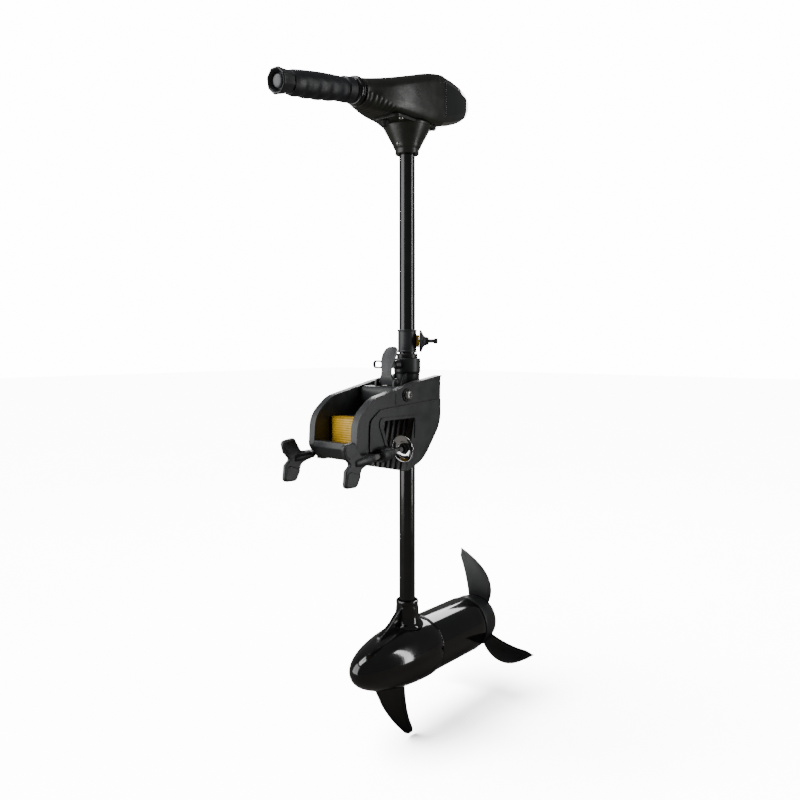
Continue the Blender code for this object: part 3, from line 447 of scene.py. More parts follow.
def cut(obj, mesh):
    """Takes the mesh out of the piece, ahead of its rounded edges."""
    tool = placed("tool", mesh)
    modifier = obj.modifiers.new("cut", "BOOLEAN")
    modifier.object, modifier.solver = tool, "EXACT"
    obj.modifiers.move(len(obj.modifiers) - 1, 0)
    graph = bpy.context.evaluated_depsgraph_get()
    others = [m for m in obj.modifiers if m.type != "BOOLEAN"]
    for other in others:
        other.show_viewport = False
    graph.update()
    made = bpy.data.meshes.new_from_object(obj.evaluated_get(graph))
    for other in others:
        other.show_viewport = True
    obj.modifiers.remove(modifier)
    obj.data = made
    made.shade_smooth()
    if not others:
        made.set_sharp_from_angle(angle=radians(32))
    bpy.data.objects.remove(tool, do_unlink=True)


# ---- transom bracket ----

RAKE = radians(12.5)
WALL_TOP_Y, WALL_FOOT_Z = 0.035, -0.079
INNER, OUTER = 0.0365, 0.0450
PIVOT_Y, PIVOT_Z = 0.020, 0.035
CLAMP_X, CLAMP_Y, CLAMP_Z = 0.0535, 0.006, -0.0417
WING_BACK = 0.096
LEFT_CLAMP_BACK = 0.014  # the left screw is wound out this much further
SLOT_FRONT = mm((-24, -56, 3), (-24, -38, 6), (-38, 0, 6))
WALL_FOOT = (WALL_TOP_Y + WALL_FOOT_Z * tan(RAKE), WALL_FOOT_Z, 0.002)
REAR_EDGE = [(0.058, -0.066, 0.060), (0.1015, -0.012, 0.070)]
TOP_EDGE = mm((103.5, 63, 4), (40, 54, 120), (-56, 34, 50))
FRONT_EDGE = mm((-89, 8, 40), (-91.5, -36, 12), (-75, -58, 8))


def beside(path, distance):
    """The path moved sideways in its own plane."""
    out = []
    for index, point in enumerate(path):
        before, after = path[max(index - 1, 0)], path[min(index + 1, len(path) - 1)]
        ahead = (Vector(after) - Vector(before)).normalized()
        out.append(Vector(point) + Vector((-ahead.y, ahead.x)) * distance)
    return out


def lock_track():
    """The arc in a cheek's inner face that the lock pin runs along, with its notches."""
    half, low, high, notch = radians(2.75), 0.0685, 0.0755, 0.0616
    start, step = radians(-66), radians(20)
    polar = []
    for index in range(5):
        angle = start + index * step
        polar += [(low, angle - 2 * half), (low, angle - half), (notch, angle - half)]
        polar += [(notch, angle + half), (low, angle + half), (low, angle + 2 * half)]
    sweep = 4 * step + 4 * half
    polar += [(high, start - 2 * half + sweep * (1 - index / 24)) for index in range(25)]
    return [(PIVOT_Y + radius * cos(angle), PIVOT_Z + radius * sin(angle)) for radius, angle in polar]


def clamp_matrix(sign, back):
    slide = Vector((0, cos(CLAMP_SLOPE), sin(CLAMP_SLOPE))) * back
    return matrix(Vector((sign * CLAMP_X, CLAMP_Y, CLAMP_Z)) - slide, (-pi / 2 + CLAMP_SLOPE, 0, 0))


def build_cheek(side, sign):
    """A moulded side plate: its web, the lip round it, the raised field and the slot's border."""
    slot = SLOT_FRONT + [(WALL_TOP_Y, 0.0, 0.003), WALL_FOOT]
    outline = rounded(TOP_EDGE + FRONT_EDGE + slot + REAR_EDGE)
    clamp = clamp_matrix(sign, 0.0)

    def raised(name, outline, foot, top, bevel):
        """A part of the outer face, between two distances from the bracket's middle."""
        mesh = extruded(outline, sign * foot, sign * top)
        return piece(f"cheek_{side}_{name}", mesh, SATIN, "bracket", bevel=bevel)

    def clear_screw(part):
        cut(part, moved(rod(0.0095, -0.120, -0.056), clamp))

    web = piece(
        f"cheek_{side}_web", extruded(outline, sign * INNER, sign * OUTER), SATIN, "bracket",
        f"cheek_{side}", bevel=0.0007,
    )
    clear_screw(web)
    cut(web, extruded(lock_track(), sign * 0.0345, sign * 0.0435))
    pivot = matrix((sign * 0.042, PIVOT_Y, PIVOT_Z), (0, pi / 2, 0))
    cut(web, moved(rod(0.0053, -0.02, 0.02, 32), pivot))

    edge = outline[4:54]  # along the top and down the front
    lip = edge + beside(edge, 0.0024)[::-1]
    clear_screw(raised("lip", lip, 0.0446, 0.0484, 0.0007))

    field = rounded([
        (0.1008, 0.0255, 0.002), (0.0131, 0.0205, 0.05), (-0.0400, 0.0170, 0.012),
        (-0.0615, 0.0020, 0.016), (-0.0625, -0.034, 0.008), (-0.0600, -0.0560, 0.002),
        (-0.0243, -0.0557, 0.003), (-0.0243, -0.038, 0.006), (-0.0383, 0.0003, 0.006),
        (0.0353, 0.0003, 0.003), (WALL_FOOT[0] + 0.0006, -0.0784, 0.002), (0.0575, -0.0655, 0.060),
        (0.1008, -0.012, 0.070),
    ])
    clear_screw(raised("field", field, 0.0446, 0.0472, 0.0007))
    border = rounded(mm(
        (-30, -38.5, 1), (-44.5, -4, 10), (-40, 5.6, 8), (39.2, 4.6, 5), (39.8, -30, 1), (35.8, -30, 0.5),
        (35.8, 0.4, 3), (-38.8, 0.4, 6), (-24.8, -38.5, 1),
    ))
    raised("slot_border", border, 0.0468, 0.0487, 0.0006)
    seam = mm((-4.9, 22.3), (-4.1, 22.3), (-4.1, 38.5), (-4.9, 38.5))
    raised("seam", seam, 0.0446, 0.0456, 0.0002)
    boss = mm(
        (4.9, -30), (8.2, -30), (9.2, -31.2), (9.2, -42), (10.5, -44), (10.5, -53), (9.6, -55.6),
        (4.9, -55.6),
    )
    lathe(f"cheek_{side}_boss", boss, clamp, SATIN, "bracket", steps=72)
    ring = mm((7.9, 0.2), (9.8, 0.2), (9.8, 1.4), (8.8, 2.2), (7.9, 2.2))
    at = matrix((sign * OUTER, PIVOT_Y, PIVOT_Z), (0, sign * pi / 2, 0))
    lathe(f"cheek_{side}_pivot_ring", ring, at, SATIN, "bracket", steps=64, soft=0.0003)


def build_bridge():
    outline = rounded(mm(
        (-90.8, -28.5, 1), (-91.2, -38, 6), (-76, -55.2, 5), (-68, -55.2, 1), (-80, -37, 6),
        (-80, -28.5, 1),
    ))
    piece("front_bridge_bar", slab(outline, 0.0366), SATIN, "bracket", "front_bridge", bevel=0.0006)


def build_saddle():
    """The plate under the swivel and the ribbed wall that bears on the transom's back."""
    half, rib, height, count = 0.0359, 0.0031, 0.084, 7
    corners = [(half, 0.0032, 0.0005), (-half, 0.0032, 0.0005), (-half, 0, 0.0002)]
    pitch = 2 * half / count
    for index in range(count):
        start = -half + index * pitch
        corners += [(start + pitch * 0.27, 0, 0.0008), (start + pitch * 0.33, -rib, 0.0012)]
        corners += [(start + pitch * 0.67, -rib, 0.0012), (start + pitch * 0.73, 0, 0.0008)]
    corners.append((half, 0, 0.0002))
    foot = height / 2 - 0.003
    centre = (0, WALL_TOP_Y + rib / cos(RAKE) - foot * sin(RAKE), -foot * cos(RAKE))
    wall = moved(slab(rounded(corners, 3), height / 2, "plan"), matrix(centre, (-RAKE, 0, 0)))
    plate = rounded(mm((-36, 0, 1.2), (-36, 4, 1.2), (39, 4, 0.8), (39, 0, 0.4)), 4)
    both = joined(wall, slab(plate, 0.0362))
    piece("transom_saddle_body", both, SATIN, "bracket", "transom_saddle", bevel=0.0004, segments=2)


def build_bumper():
    """A block between the cheeks with fine ribs all round."""
    front, half, low, high = -0.0600, 0.0362, -0.0340, 0.0040
    path = rounded(
        [(half, front, 0.009), (half, -0.0400, 0.002), (-half, -0.0400, 0.002), (-half, front, 0.009)],
        14,
    )
    rows, count, pitch = [], 132, 0.0034
    for index in range(count + 1):
        height = low + (high - low) * index / count
        wave = 0.00045 * (1 - abs(sin(pi * (height - low) / pitch)) ** 0.7)
        end = min(height - low, high - height)
        inset = wave + 0.0012 * max(0.0, 1 - end / 0.0016) ** 2
        row = []
        for point, ahead in zip(path, path[1:] + path[:1]):
            inward = Vector((ahead.y - point.y, point.x - ahead.x)).normalized() * inset
            row.append((point.x + inward.x, point.y + inward.y, height))
        rows.append(row)
    piece("ribbed_bumper_block", lofted(rows), YELLOW, "bracket", "ribbed_bumper", angle=70)


def cut_cross(obj, radius, depth, *places):
    """Cuts a driver's cross into the piece, down from height 0 of its place."""
    for wide, tall in ((radius, radius * 0.28), (radius * 0.28, radius)):
        outline = [(-wide, -tall), (wide, -tall), (wide, tall), (-wide, tall)]
        cut(obj, moved(slab(outline, depth, "plan"), *places))


def build_pivot():
    at = matrix((0, PIVOT_Y, PIVOT_Z), (0, pi / 2, 0))
    head = mm((0, 52.5), (4.2, 52.4), (6.2, 51.4), (7.4, 49.2), (7.4, 48.7), (4.9, 48.7))
    shank = mm((4.9, -52.8), (0, -53.2))
    bolt = lathe("pivot_bolt_body", head + shank, at, STEEL, "bracket", "pivot_bolt", steps=64)
    cut_cross(bolt, 0.0032, 0.0016, matrix((0, 0, 0.0525)), at)
    nut = mm((6, -48.8), (7.8, -48.8), (7.8, -52), (7, -53), (6, -53))
    lathe("pivot_nut_body", nut, at, STEEL, "bracket", "pivot_nut", steps=6, soft=0.0002, bevel=0.0003)


def build_clamp(side, sign, back):
    at = clamp_matrix(sign, back)
    feed, turn = f"clamp_feed_{side}", f"clamp_turn_{side}"
    dish = mm(
        (0, 0), (10.5, 0), (15, -1.4), (18.8, -3.4), (20, -4.8), (19.6, -5.6), (18.6, -5.2), (14.8, -3.4),
        (11.2, -2.6), (8, -2.6), (8, -2), (0, -2),
    )
    lathe(f"clamp_pad_{side}_dish", dish, at, CHROME, feed, f"clamp_pad_{side}")
    socket = mm((5, -2.1), (7.9, -2.1), (7.6, -5.6), (6.6, -6.8), (5, -6.8))
    lathe(f"clamp_pad_{side}_socket", socket, at, SATIN, feed, steps=64, slot="chrome")
    shank = mm((0, -2.4), (4.3, -2.5), (4.5, -3), (4.5, -105), (4, -105.6), (0, -105.6))
    lathe(f"clamp_screw_{side}_rod", shank, at, CHROME, turn, f"clamp_screw_{side}", steps=64)

    wing = rounded(mm(
        (16.5, 6, 0), (0.5, 9, 6), (-10, 30, 6), (-34, 29, 7), (-30.5, 12, 10), (-20.5, 0, 4),
        (-30.5, -6, 5), (-35.5, -30, 7), (-11.5, -33, 7), (0.5, -10, 8), (16.5, -6, 0),
    ))
    slant = Matrix.Rotation(CLAMP_SLOPE, 4, "X")
    origin = Matrix.Translation(at.translation)
    shift = Matrix.Translation((0, -WING_BACK, 0))
    body = moved(slab(wing, 0.0034), shift, slant, origin)
    piece(f"clamp_wing_{side}_web", body, SATIN, turn, f"clamp_wing_{side}", bevel=0.0018, segments=4)
    lower = rounded(mm(
        (-21.5, -8.5, 2), (-29, -10.5, 3), (-33.5, -29, 5), (-12.5, -31.5, 6), (-3, -17, 4),
    ))
    upper = rounded(mm((-6, 17, 4), (-11.5, 28.5, 5), (-32, 27.5, 6), (-28.5, 13, 8), (-22.5, 7, 3)))
    for name, outline, half in (("lower", lower, 0.0047), ("upper", upper, 0.0042)):
        lobe = moved(slab(outline, half), shift, slant, origin)
        piece(f"clamp_wing_{side}_{name}_lobe", lobe, SATIN, turn, bevel=0.0013, segments=4)
    hub = mm(
        (0, -70.2), (5.6, -70.2), (6.4, -71), (6.4, -76), (7.2, -79), (7.2, -90), (6.8, -100),
        (5.6, -108), (3, -109.7), (0, -109.8),
    )
    lathe(f"clamp_wing_{side}_hub", hub, at, SATIN, turn, steps=64, soft=0.0012)


# ---- swivel and its controls ----


def build_swivel():
    barrel = mm(
        (14.7, 88.8), (20.4, 88.8), (21, 88), (21, 68), (20, 65.5), (19.5, 64), (19.5, -41), (18.5, -42),
        (14.7, -42),
    )
    arms = rounded(mm((6, 21, 10), (6, 47, 10), (61, 47, 4), (61, 18, 4), (20, 18, 10)))
    spine = rounded(mm((43.8, -41.2, 2), (43.8, 30, 2), (60, 30, 2), (60, -41.2, 2)))
    web = rounded(mm((46, 44, 1), (56, 65.5, 4), (60, 65.5, 1), (60, 44, 1)))
    ear = rounded(mm((20, 40, 0), (20, 56, 7), (34, 61, 7), (36, 40, 0)))
    shapes = [slab(arms, 0.036), slab(spine, 0.014)]
    shapes += [extruded(web, sign * 0.0085, sign * 0.0125) for sign in (-1, 1)]
    shapes += [extruded(ear, sign * 0.0162, sign * 0.0200) for sign in (-1, 1)]
    lathe("swivel_barrel", barrel, COLUMN, SATIN, "swivel", "swivel_block")
    piece("swivel_arms", joined(*shapes), SATIN, "swivel", bevel=0.0009)
    upper = mm((13, 96.2), (15.8, 96.2), (16.5, 95.5), (16.5, 89), (14.4, 89), (14.4, 55), (13, 55))
    lower = mm((13, -12), (14.4, -12), (14.4, -42.2), (17, -42.2), (17, -45), (13, -45))
    for name, profile in (("upper", upper), ("lower", lower)):
        lathe(f"{name}_bushing_sleeve", profile, COLUMN, NYLON, "swivel", f"{name}_bushing", soft=0.0003)


def build_lever():
    """A thumb paddle: a dished blade on a forked foot."""
    stations = mm(
        (29, 48, 15, 5.2), (26.8, 56, 14.8, 5), (25.5, 64, 11, 4.2), (25.8, 72, 10.5, 3.6),
        (27.8, 82, 12.8, 3.4), (31, 91, 14.6, 3.4), (35, 99, 14, 3.2), (37.8, 104, 11.5, 2.8),
        (39.2, 106.6, 7, 2), (39.7, 107.4, 2, 0.8),
    )
    rows = []
    for y, z, half, depth in smooth_rows(stations, 6):
        row = []
        for step in range(40):
            angle = 2 * pi * step / 40
            across = abs(cos(angle)) ** 0.55 * (1 if cos(angle) > 0 else -1)
            through = abs(sin(angle)) ** 0.7 * (1 if sin(angle) > 0 else -1)
            dish = 0.0014 * (1 - across**2) * (z > 0.062) if through < 0 else 0.0
            row.append((half * across, y + depth * through * 0.5 + dish, z))
        rows.append(row)
    piece("tilt_lever_paddle", lofted(rows), SATIN, "lever", "tilt_lever", angle=60)
    tongue = rounded(mm((30, 47, 1), (30, 53, 1), (50, 48, 1), (50, 45.2, 1)))
    piece("tilt_lever_tongue", slab(tongue, 0.0028), SATIN, "lever", bevel=0.0005)


def build_tension():
    at = matrix((0, 0.0534, TENSION_Z), ALONG_Y)
    hub = mm(
        (0, 6.6), (2.8, 6.6), (2.8, 0.2), (6.8, 0), (7, -0.8), (6.2, -10.8), (5.2, -11.4), (0, -11.4),
    )
    lathe("tension_knob_hub", hub, at, SATIN, "tension", "tension_knob", steps=64)
    across = matrix((0, 0.0465, TENSION_Z), ALONG_Y)
    outline = rounded(mm(
        (6, -4.8, 4), (6, 4.8, 4), (-20, 3, 10), (-26, 6.4, 6), (-45.9, 6.4, 8.5), (-45.9, -6.4, 8.5),
        (-26, -6.4, 6), (-20, -3, 10),
    ))
    eye = rounded(mm((-28, -3.8, 4), (-28, 3.8, 4), (-43.2, 3.8, 4), (-43.2, -3.8, 4)))
    lever = piece(
        "tension_knob_lever", moved(slab(outline, 0.0024, "plan"), across), SATIN, "tension",
        bevel=0.0009,
    )
    cut(lever, moved(slab(eye, 0.0040, "plan"), across))


def knob_grooves(angle, height):
    """Grip notches round the knob's rim, and none on its cone."""
    return 1 - 0.012 * (height < 0.0232) * (0.5 + 0.5 * cos(24 * angle))


def build_collar():
    body = mm(
        (13, 134), (14.6, 134), (15.8, 133.6), (15.8, 132.2), (14.8, 131.4), (14.7, 130), (14.7, 101.2),
        (15.2, 100.4), (15.2, 98.4), (14.7, 98), (13, 98),
    )
    lathe("depth_collar_sleeve", body, COLUMN, SATIN, "collar", "depth_collar", soft=0.0004)
    strip = rounded(mm((-9.8, -5.8, 2), (9.8, -5.8, 2), (9.8, 5.8, 2), (-9.8, 5.8, 2)))
    insert = piece(
        "collar_insert_strip", moved(extruded(strip, 0.0145, 0.0190, "plan"), KNOB), YELLOW, "collar",
        "collar_insert", bevel=0.0005,
    )
    cut(insert, moved(rod(0.0034, 0, 0.03, 32), KNOB))
    disc = mm(
        (0, 34.5), (5, 34.3), (6.2, 33), (7.2, 28.5), (10, 25.8), (15, 23.6), (17.2, 22.8), (17.5, 22),
        (17.5, 20.2), (17, 19.6), (15, 19.8), (0, 19.8),
    )
    lathe(
        "collar_knob_disc", disc, KNOB, SATIN, "collar_clamp", "collar_knob", steps=144,
        wobble=knob_grooves,
    )
    paddle = rounded(mm(
        (26, -6, 2), (34, -7.5, 6), (40, -10.8, 4), (48, -10, 4), (48, 10, 4), (40, 10.8, 4),
        (34, 7.5, 6), (26, 6, 2),
    ))
    at = matrix((0, SHAFT_Y, COLLAR_Z), (0, 0, KNOB_DIRECTION))
    piece(
        "collar_knob_paddle", moved(slab(paddle, 0.0030, "plan"), at), SATIN, "collar_clamp",
        bevel=0.0012,
    )
    rim = rounded(mm((42.5, -10.6, 3), (48.1, -10, 3), (48.1, 10, 3), (42.5, 10.6, 3)))
    piece("collar_knob_rim", moved(slab(rim, 0.0043, "plan"), at), SATIN, "collar_clamp", bevel=0.0014)


# ---- head ----

# Along the head: place in Y, half width, underside, top, corner radius
HEAD_SECTIONS = mm(
    (-38, 20.5, 460.5, 502, 17), (-30, 22.5, 459, 503.5, 18), (-10, 30, 458, 507.5, 18.5),
    (14, 37, 458, 513.5, 17.5), (45, 42.5, 458, 523, 16.5), (85, 45, 458, 536, 15.5),
    (118, 45, 460, 542, 15), (140, 43.5, 465.5, 541, 15), (165, 40.5, 474, 538, 14.5),
    (185, 37, 483, 534, 14), (196, 33, 491, 529, 12),
)
PANEL_Y = 0.118
PANEL_STEP = 0.0004
COVER_FRONT_Y = -0.0380
HEAD_SCREW_X = 0.029
HEAD_SCREWS = {"front": 0.026, "rear": 0.1055}


def between(a, b, parts):
    """The points that divide a straight run from a to b into equal parts."""
    return [(a[0] + (b[0] - a[0]) * t / parts, a[1] + (b[1] - a[1]) * t / parts) for t in range(1, parts)]


def head_section(y, half, low, high, corner, inset=0.0, arc=12, side=10):
    """One rounded rectangle across the head, with its straight runs divided for the relief."""
    half, low, high, corner = half - inset, low + inset, high - inset, corner - inset
    centres = [
        (half - corner, high - corner), (corner - half, high - corner), (corner - half, low + corner),
        (half - corner, low + corner),
    ]
    loop = []
    for quarter, (x, z) in enumerate(centres):
        arc_points = []
        for step in range(arc + 1):
            angle = pi / 2 * (quarter + step / arc)
            arc_points.append((x + corner * cos(angle), z + corner * sin(angle)))
        if loop:
            loop += between(loop[-1], arc_points[0], side)
        loop += arc_points
    loop += between(loop[-1], loop[0], side)
    return [(x, y, z) for x, z in loop]


def head_relief(x, y, z, half):
    """How far the moulding stands out: ribs under the tiller's root and a crease along each side."""
    lower = ramp(0.4796 - (y + 0.030) * 0.355 - z, 0.0035)
    run = ramp(0.016 - y, 0.005) * ramp(y + 0.037, 0.002)
    ribs = 0.0016 * lower * run * (abs(sin(pi * (y + 0.036) / 0.0074)) ** 0.6 - 0.75)
    crease = 0.4873 + (y + 0.035) * 0.1007
    off = z - crease
    lean = -0.045 * max(off, 0.0) - 0.02 * max(-off, 0.0)
    on_side = ramp(abs(x) / half - 0.9, 0.08)
    return ribs + lean * on_side * ramp(y - 0.02, 0.03)


def head_rows(start, end, steps, inset=0.0, relief=True):
    dense = smooth_rows(HEAD_SECTIONS, 14)
    rows = []
    for index in range(steps + 1):
        y = start + (end - start) * index / steps
        after = next((k for k, row in enumerate(dense) if row[0] >= y - 1e-9), len(dense) - 1)
        a, b = dense[max(after - 1, 0)], dense[after]
        t = 0.0 if b[0] == a[0] else (y - a[0]) / (b[0] - a[0])
        section = [p + (q - p) * max(0.0, min(1.0, t)) for p, q in zip(a, b)]
        loop = []
        for x, _, z in head_section(y, *section[1:], inset=inset):
            out = head_relief(x, y, z, section[1]) if relief else 0.0
            middle = Vector((0, (section[2] + section[3]) / 2))
            direction = (Vector((x, z)) - middle).normalized()
            loop.append((x + direction.x * out, y, z + direction.y * out))
        rows.append(loop)
    return rows


def collar_loop(like, radius, y):
    """A circle about the tiller's axis with its points in the same directions as another loop's."""
    centre = TILLER_Z + (y - TILLER_Y) * tan(TILLER_DROP)
    return [
        (radius * cos(angle), y, centre + radius * sin(angle))
        for angle in (atan2(z - centre, x) for x, _, z in like)
    ]


def build_head():
    outer = head_rows(COVER_FRONT_Y, PANEL_Y - 0.0006, 180)
    inner = head_rows(-0.0340, PANEL_Y - 0.0006, 24, inset=0.0028, relief=False)
    mouth = [collar_loop(outer[0], 0.0162, y) for y in (-0.0350, -0.0368, -0.0378)]
    piece(
        "head_cover_shell", lofted(mouth + outer + inner[::-1], ring=True), HEAD, "column", "head_cover",
        angle=40,
    )
    coarse = [section for section in HEAD_SECTIONS if section[0] >= PANEL_Y]
    coarse[0] = (PANEL_Y + 0.0002, *coarse[0][1:])
    rows = [
        head_section(y, half - PANEL_STEP, low + PANEL_STEP, high - PANEL_STEP, corner, arc=2, side=1)
        for y, half, low, high, corner in coarse
    ]
    piece(
        "meter_panel_body", lofted(rows), PANEL, "column", "meter_panel", bevel=0.0007, angle=8,
        segments=3,
    )

    neck = mm(
        (13, 457.5), (37.6, 457.5), (38.2, 456.8), (38.2, 454), (37.4, 452.8), (35, 448), (31.2, 441),
        (26.8, 433), (23.2, 426.2), (21.4, 421.8), (20.6, 420.5), (19, 418), (18.8, 411.8), (18.2, 411.2),
        (13, 411.2),
    )
    flange = rounded(mm((33, 12, 8), (33, 112, 8), (-33, 112, 8), (-33, 58, 10), (-14, 12, 8)))
    base = lathe("head_base_neck", neck, COLUMN, HEAD, "column", "head_base", steps=120, soft=0.0010)
    at = matrix((0, SHAFT_Y, NECK_SCREW_Z), (pi / 2, 0, 0))
    cut(base, moved(rod(0.0042, 0.0250, 0.0405, 40), at))
    plate = piece(
        "head_base_flange", extruded(flange, 0.4532, 0.4577, "plan"), HEAD, "column", bevel=0.0010,
    )
    for radius, y in ((0.0060, GLAND_Y), (0.0129, SHAFT_Y)):
        cut(plate, moved(rod(radius, 0.44, 0.48), matrix((0, y, 0))))
    gland = mm(
        (3, 460), (5.7, 460), (5.7, 453.1), (7.2, 452.9), (7.4, 451.5), (6.4, 450.5), (6.6, 449.5),
        (5.6, 448.5), (5.8, 447.5), (4.8, 446.5), (5, 445.5), (4.2, 444.6), (3, 444.6),
    )
    lathe(
        "cable_gland_sleeve", gland, matrix((0, GLAND_Y, 0)), SEAL, "column", "cable_gland", steps=64,
        soft=0.0003,
    )
    for name, y in HEAD_SCREWS.items():
        cap = mm((0, 453.2), (3.6, 453.2), (4, 452.6), (3.4, 451.2), (2.2, 450.6), (0, 450.5))
        screw = lathe(
            f"head_screw_{name}_cap", cap, matrix((HEAD_SCREW_X, y, 0)), STEEL, "column",
            f"head_screw_{name}", steps=48,
        )
        cut_cross(screw, 0.0020, 0.0012, matrix((HEAD_SCREW_X, y, 0.4505)))
    cap = mm((0, 24.3), (1.8, 24.3), (2.4, 23.6), (2.4, 13.4), (0, 13.4))
    screw = lathe("neck_screw_body", cap, at, STEEL, "column", "neck_screw", steps=48)
    cut_cross(screw, 0.0015, 0.0010, matrix((0, 0, 0.0243)), at)

    bush = mm(
        (11.8, 57.5), (16.8, 57.5), (17.8, 56.6), (18.4, 55), (19.7, 54.7), (20.6, 53.8), (20.9, 52.4),
        (20.1, 51.2), (20.1, 50.4), (20.9, 49.6), (21.2, 48.6), (21.1, 47.4), (20.4, 46.8), (16, 46.6),
        (15.6, 42), (15.6, -12), (11.8, -12),
    )
    lathe("tiller_bush_rings", bush, TILLER, TUBE, "column", "tiller_bush", soft=0.0004, slot="satin")


# ---- tiller ----

GRIP_START, GRIP_END = 0.0590, 0.1785
GRIP_BORE = 0.0120


def grip_radius(angle, along):
    """The grip's reach: a band at its inner end, then a palm swell above and finger scallops below."""
    t = (along - GRIP_START) / (GRIP_END - GRIP_START)
    swell = 0.0160 + 0.0026 * sin(pi * ramp(t - 0.10, 0.95)) ** 0.7
    slant = along + 0.0045 * cos(angle)
    fingers = 0.5 - 0.5 * cos(2 * pi * (slant - 0.0800) / 0.0225)
    inside = ramp(slant - 0.0780, 0.006) * ramp(0.1700 - slant, 0.006)
    swell -= 0.0016 * fingers**1.6 * inside * ramp(0.30 - sin(angle), 0.8)
    swell += 0.0007 * max(0.0, -sin(angle))
    if along > 0.1720:
        swell -= 0.0012 * (along - 0.1720) / 0.0065
    band = 0.0186 if along > 0.0606 else 0.0174 + (along - GRIP_START) * 0.75
    blend = ramp(along - 0.0742, 0.0016)
    groove = 0.0010 * exp(-(((along - 0.0775) / 0.0014) ** 2))
    return band * (1 - blend) + (swell - groove) * blend


def loop_about(radii, angles, height):
    """A loop about local Z with its own radius at each angle."""
    return [(radius * cos(a), radius * sin(a), height) for radius, a in zip(radii, angles)]


def octagon(radius, height, roundness):
    """An eight-sided loop about local Z with rounded corners and a flat to each side."""
    corners = []
    for k in range(8):
        angle = pi / 8 + pi / 4 * k
        corners.append((radius * cos(angle), radius * sin(angle), radius * roundness))
    return [(x, y, height) for x, y in rounded(corners, 8)]


def build_tiller():
    arm = mm((9.5, 170), (11.2, 170), (11.5, 169.4), (11.5, -129.4), (11.2, -130), (9.5, -130))
    lathe("tiller_arm_tube", arm, TILLER, STEEL, "tiller", "tiller_arm", steps=72, soft=0.0003)
    circle = [2 * pi * k / 120 for k in range(120)]
    bore = [GRIP_BORE] * len(circle)
    rows = [loop_about(bore, circle, GRIP_START)]
    first, last, steps = GRIP_START + 0.0001, GRIP_END - 0.0001, 200
    for step in range(steps + 1):
        along = first + (last - first) * step / steps
        rows.append(loop_about([grip_radius(a, along) for a in circle], circle, along))
    rows.append(loop_about(bore, circle, GRIP_END))
    piece("grip_sleeve", moved(lofted(rows, ring=True), TILLER), RUBBER, "grip", "grip", angle=50)

    shell = [
        (0.0156, 0.1790, 0.40), (0.0160, 0.1830, 0.38), (0.0166, 0.1880, 0.30), (0.0175, 0.1940, 0.24),
        (0.0183, 0.1978, 0.20), (0.0185, 0.1994, 0.20), (0.0182, 0.2007, 0.20), (0.0174, 0.2014, 0.20),
        (0.0163, 0.2012, 0.22), (0.0154, 0.2002, 0.24), (0.0146, 0.1982, 0.26), (0.0134, 0.1950, 0.34),
        (0.0125, 0.1925, 0.40), (0.0123, 0.1903, 0.40),
    ]
    rows = [octagon(*station) for station in shell]
    piece("grip_end_bezel", moved(lofted(rows), TILLER), SATIN, "grip", "grip_end", angle=38)
    cap = mm((0, 199.6), (4.8, 199.4), (7.6, 198.7), (8.8, 197.6), (9.1, 196.4), (9.1, 193.8), (0, 193.8))
    lathe("end_button_cap", cap, TILLER, BUTTON, "button", "end_button", steps=72)


# ---- column and pod ----


def build_column():
    tube = mm((11.1, 450), (12.5, 450), (12.7, 449.8), (12.7, -332.3), (12.5, -332.5), (11.1, -332.5))
    lathe("shaft_tube_body", tube, COLUMN, TUBE, "column", "shaft_tube", soft=0.0002)


def fin(stations, count=28):
    """A foil through stations of (height, leading edge, trailing edge, thickness)."""
    rows = []
    for z, front, rear, thick in smooth_rows(stations, 8):
        row = []
        for step in range(count):
            angle = 2 * pi * step / count
            along = 0.5 - 0.5 * cos(angle)
            fullness = abs(sin(angle)) ** 0.8 * (1.15 - 0.45 * along)
            side = 1 if sin(angle) >= 0 else -1
            row.append((side * thick / 2 * fullness, front + (rear - front) * along, z))
        rows.append(row)
    return lofted(rows)


BELLY_R, BELLY_Y = 0.0472, 0.095
NOSE_LENGTH, NOSE_STEPS = 0.142, 44


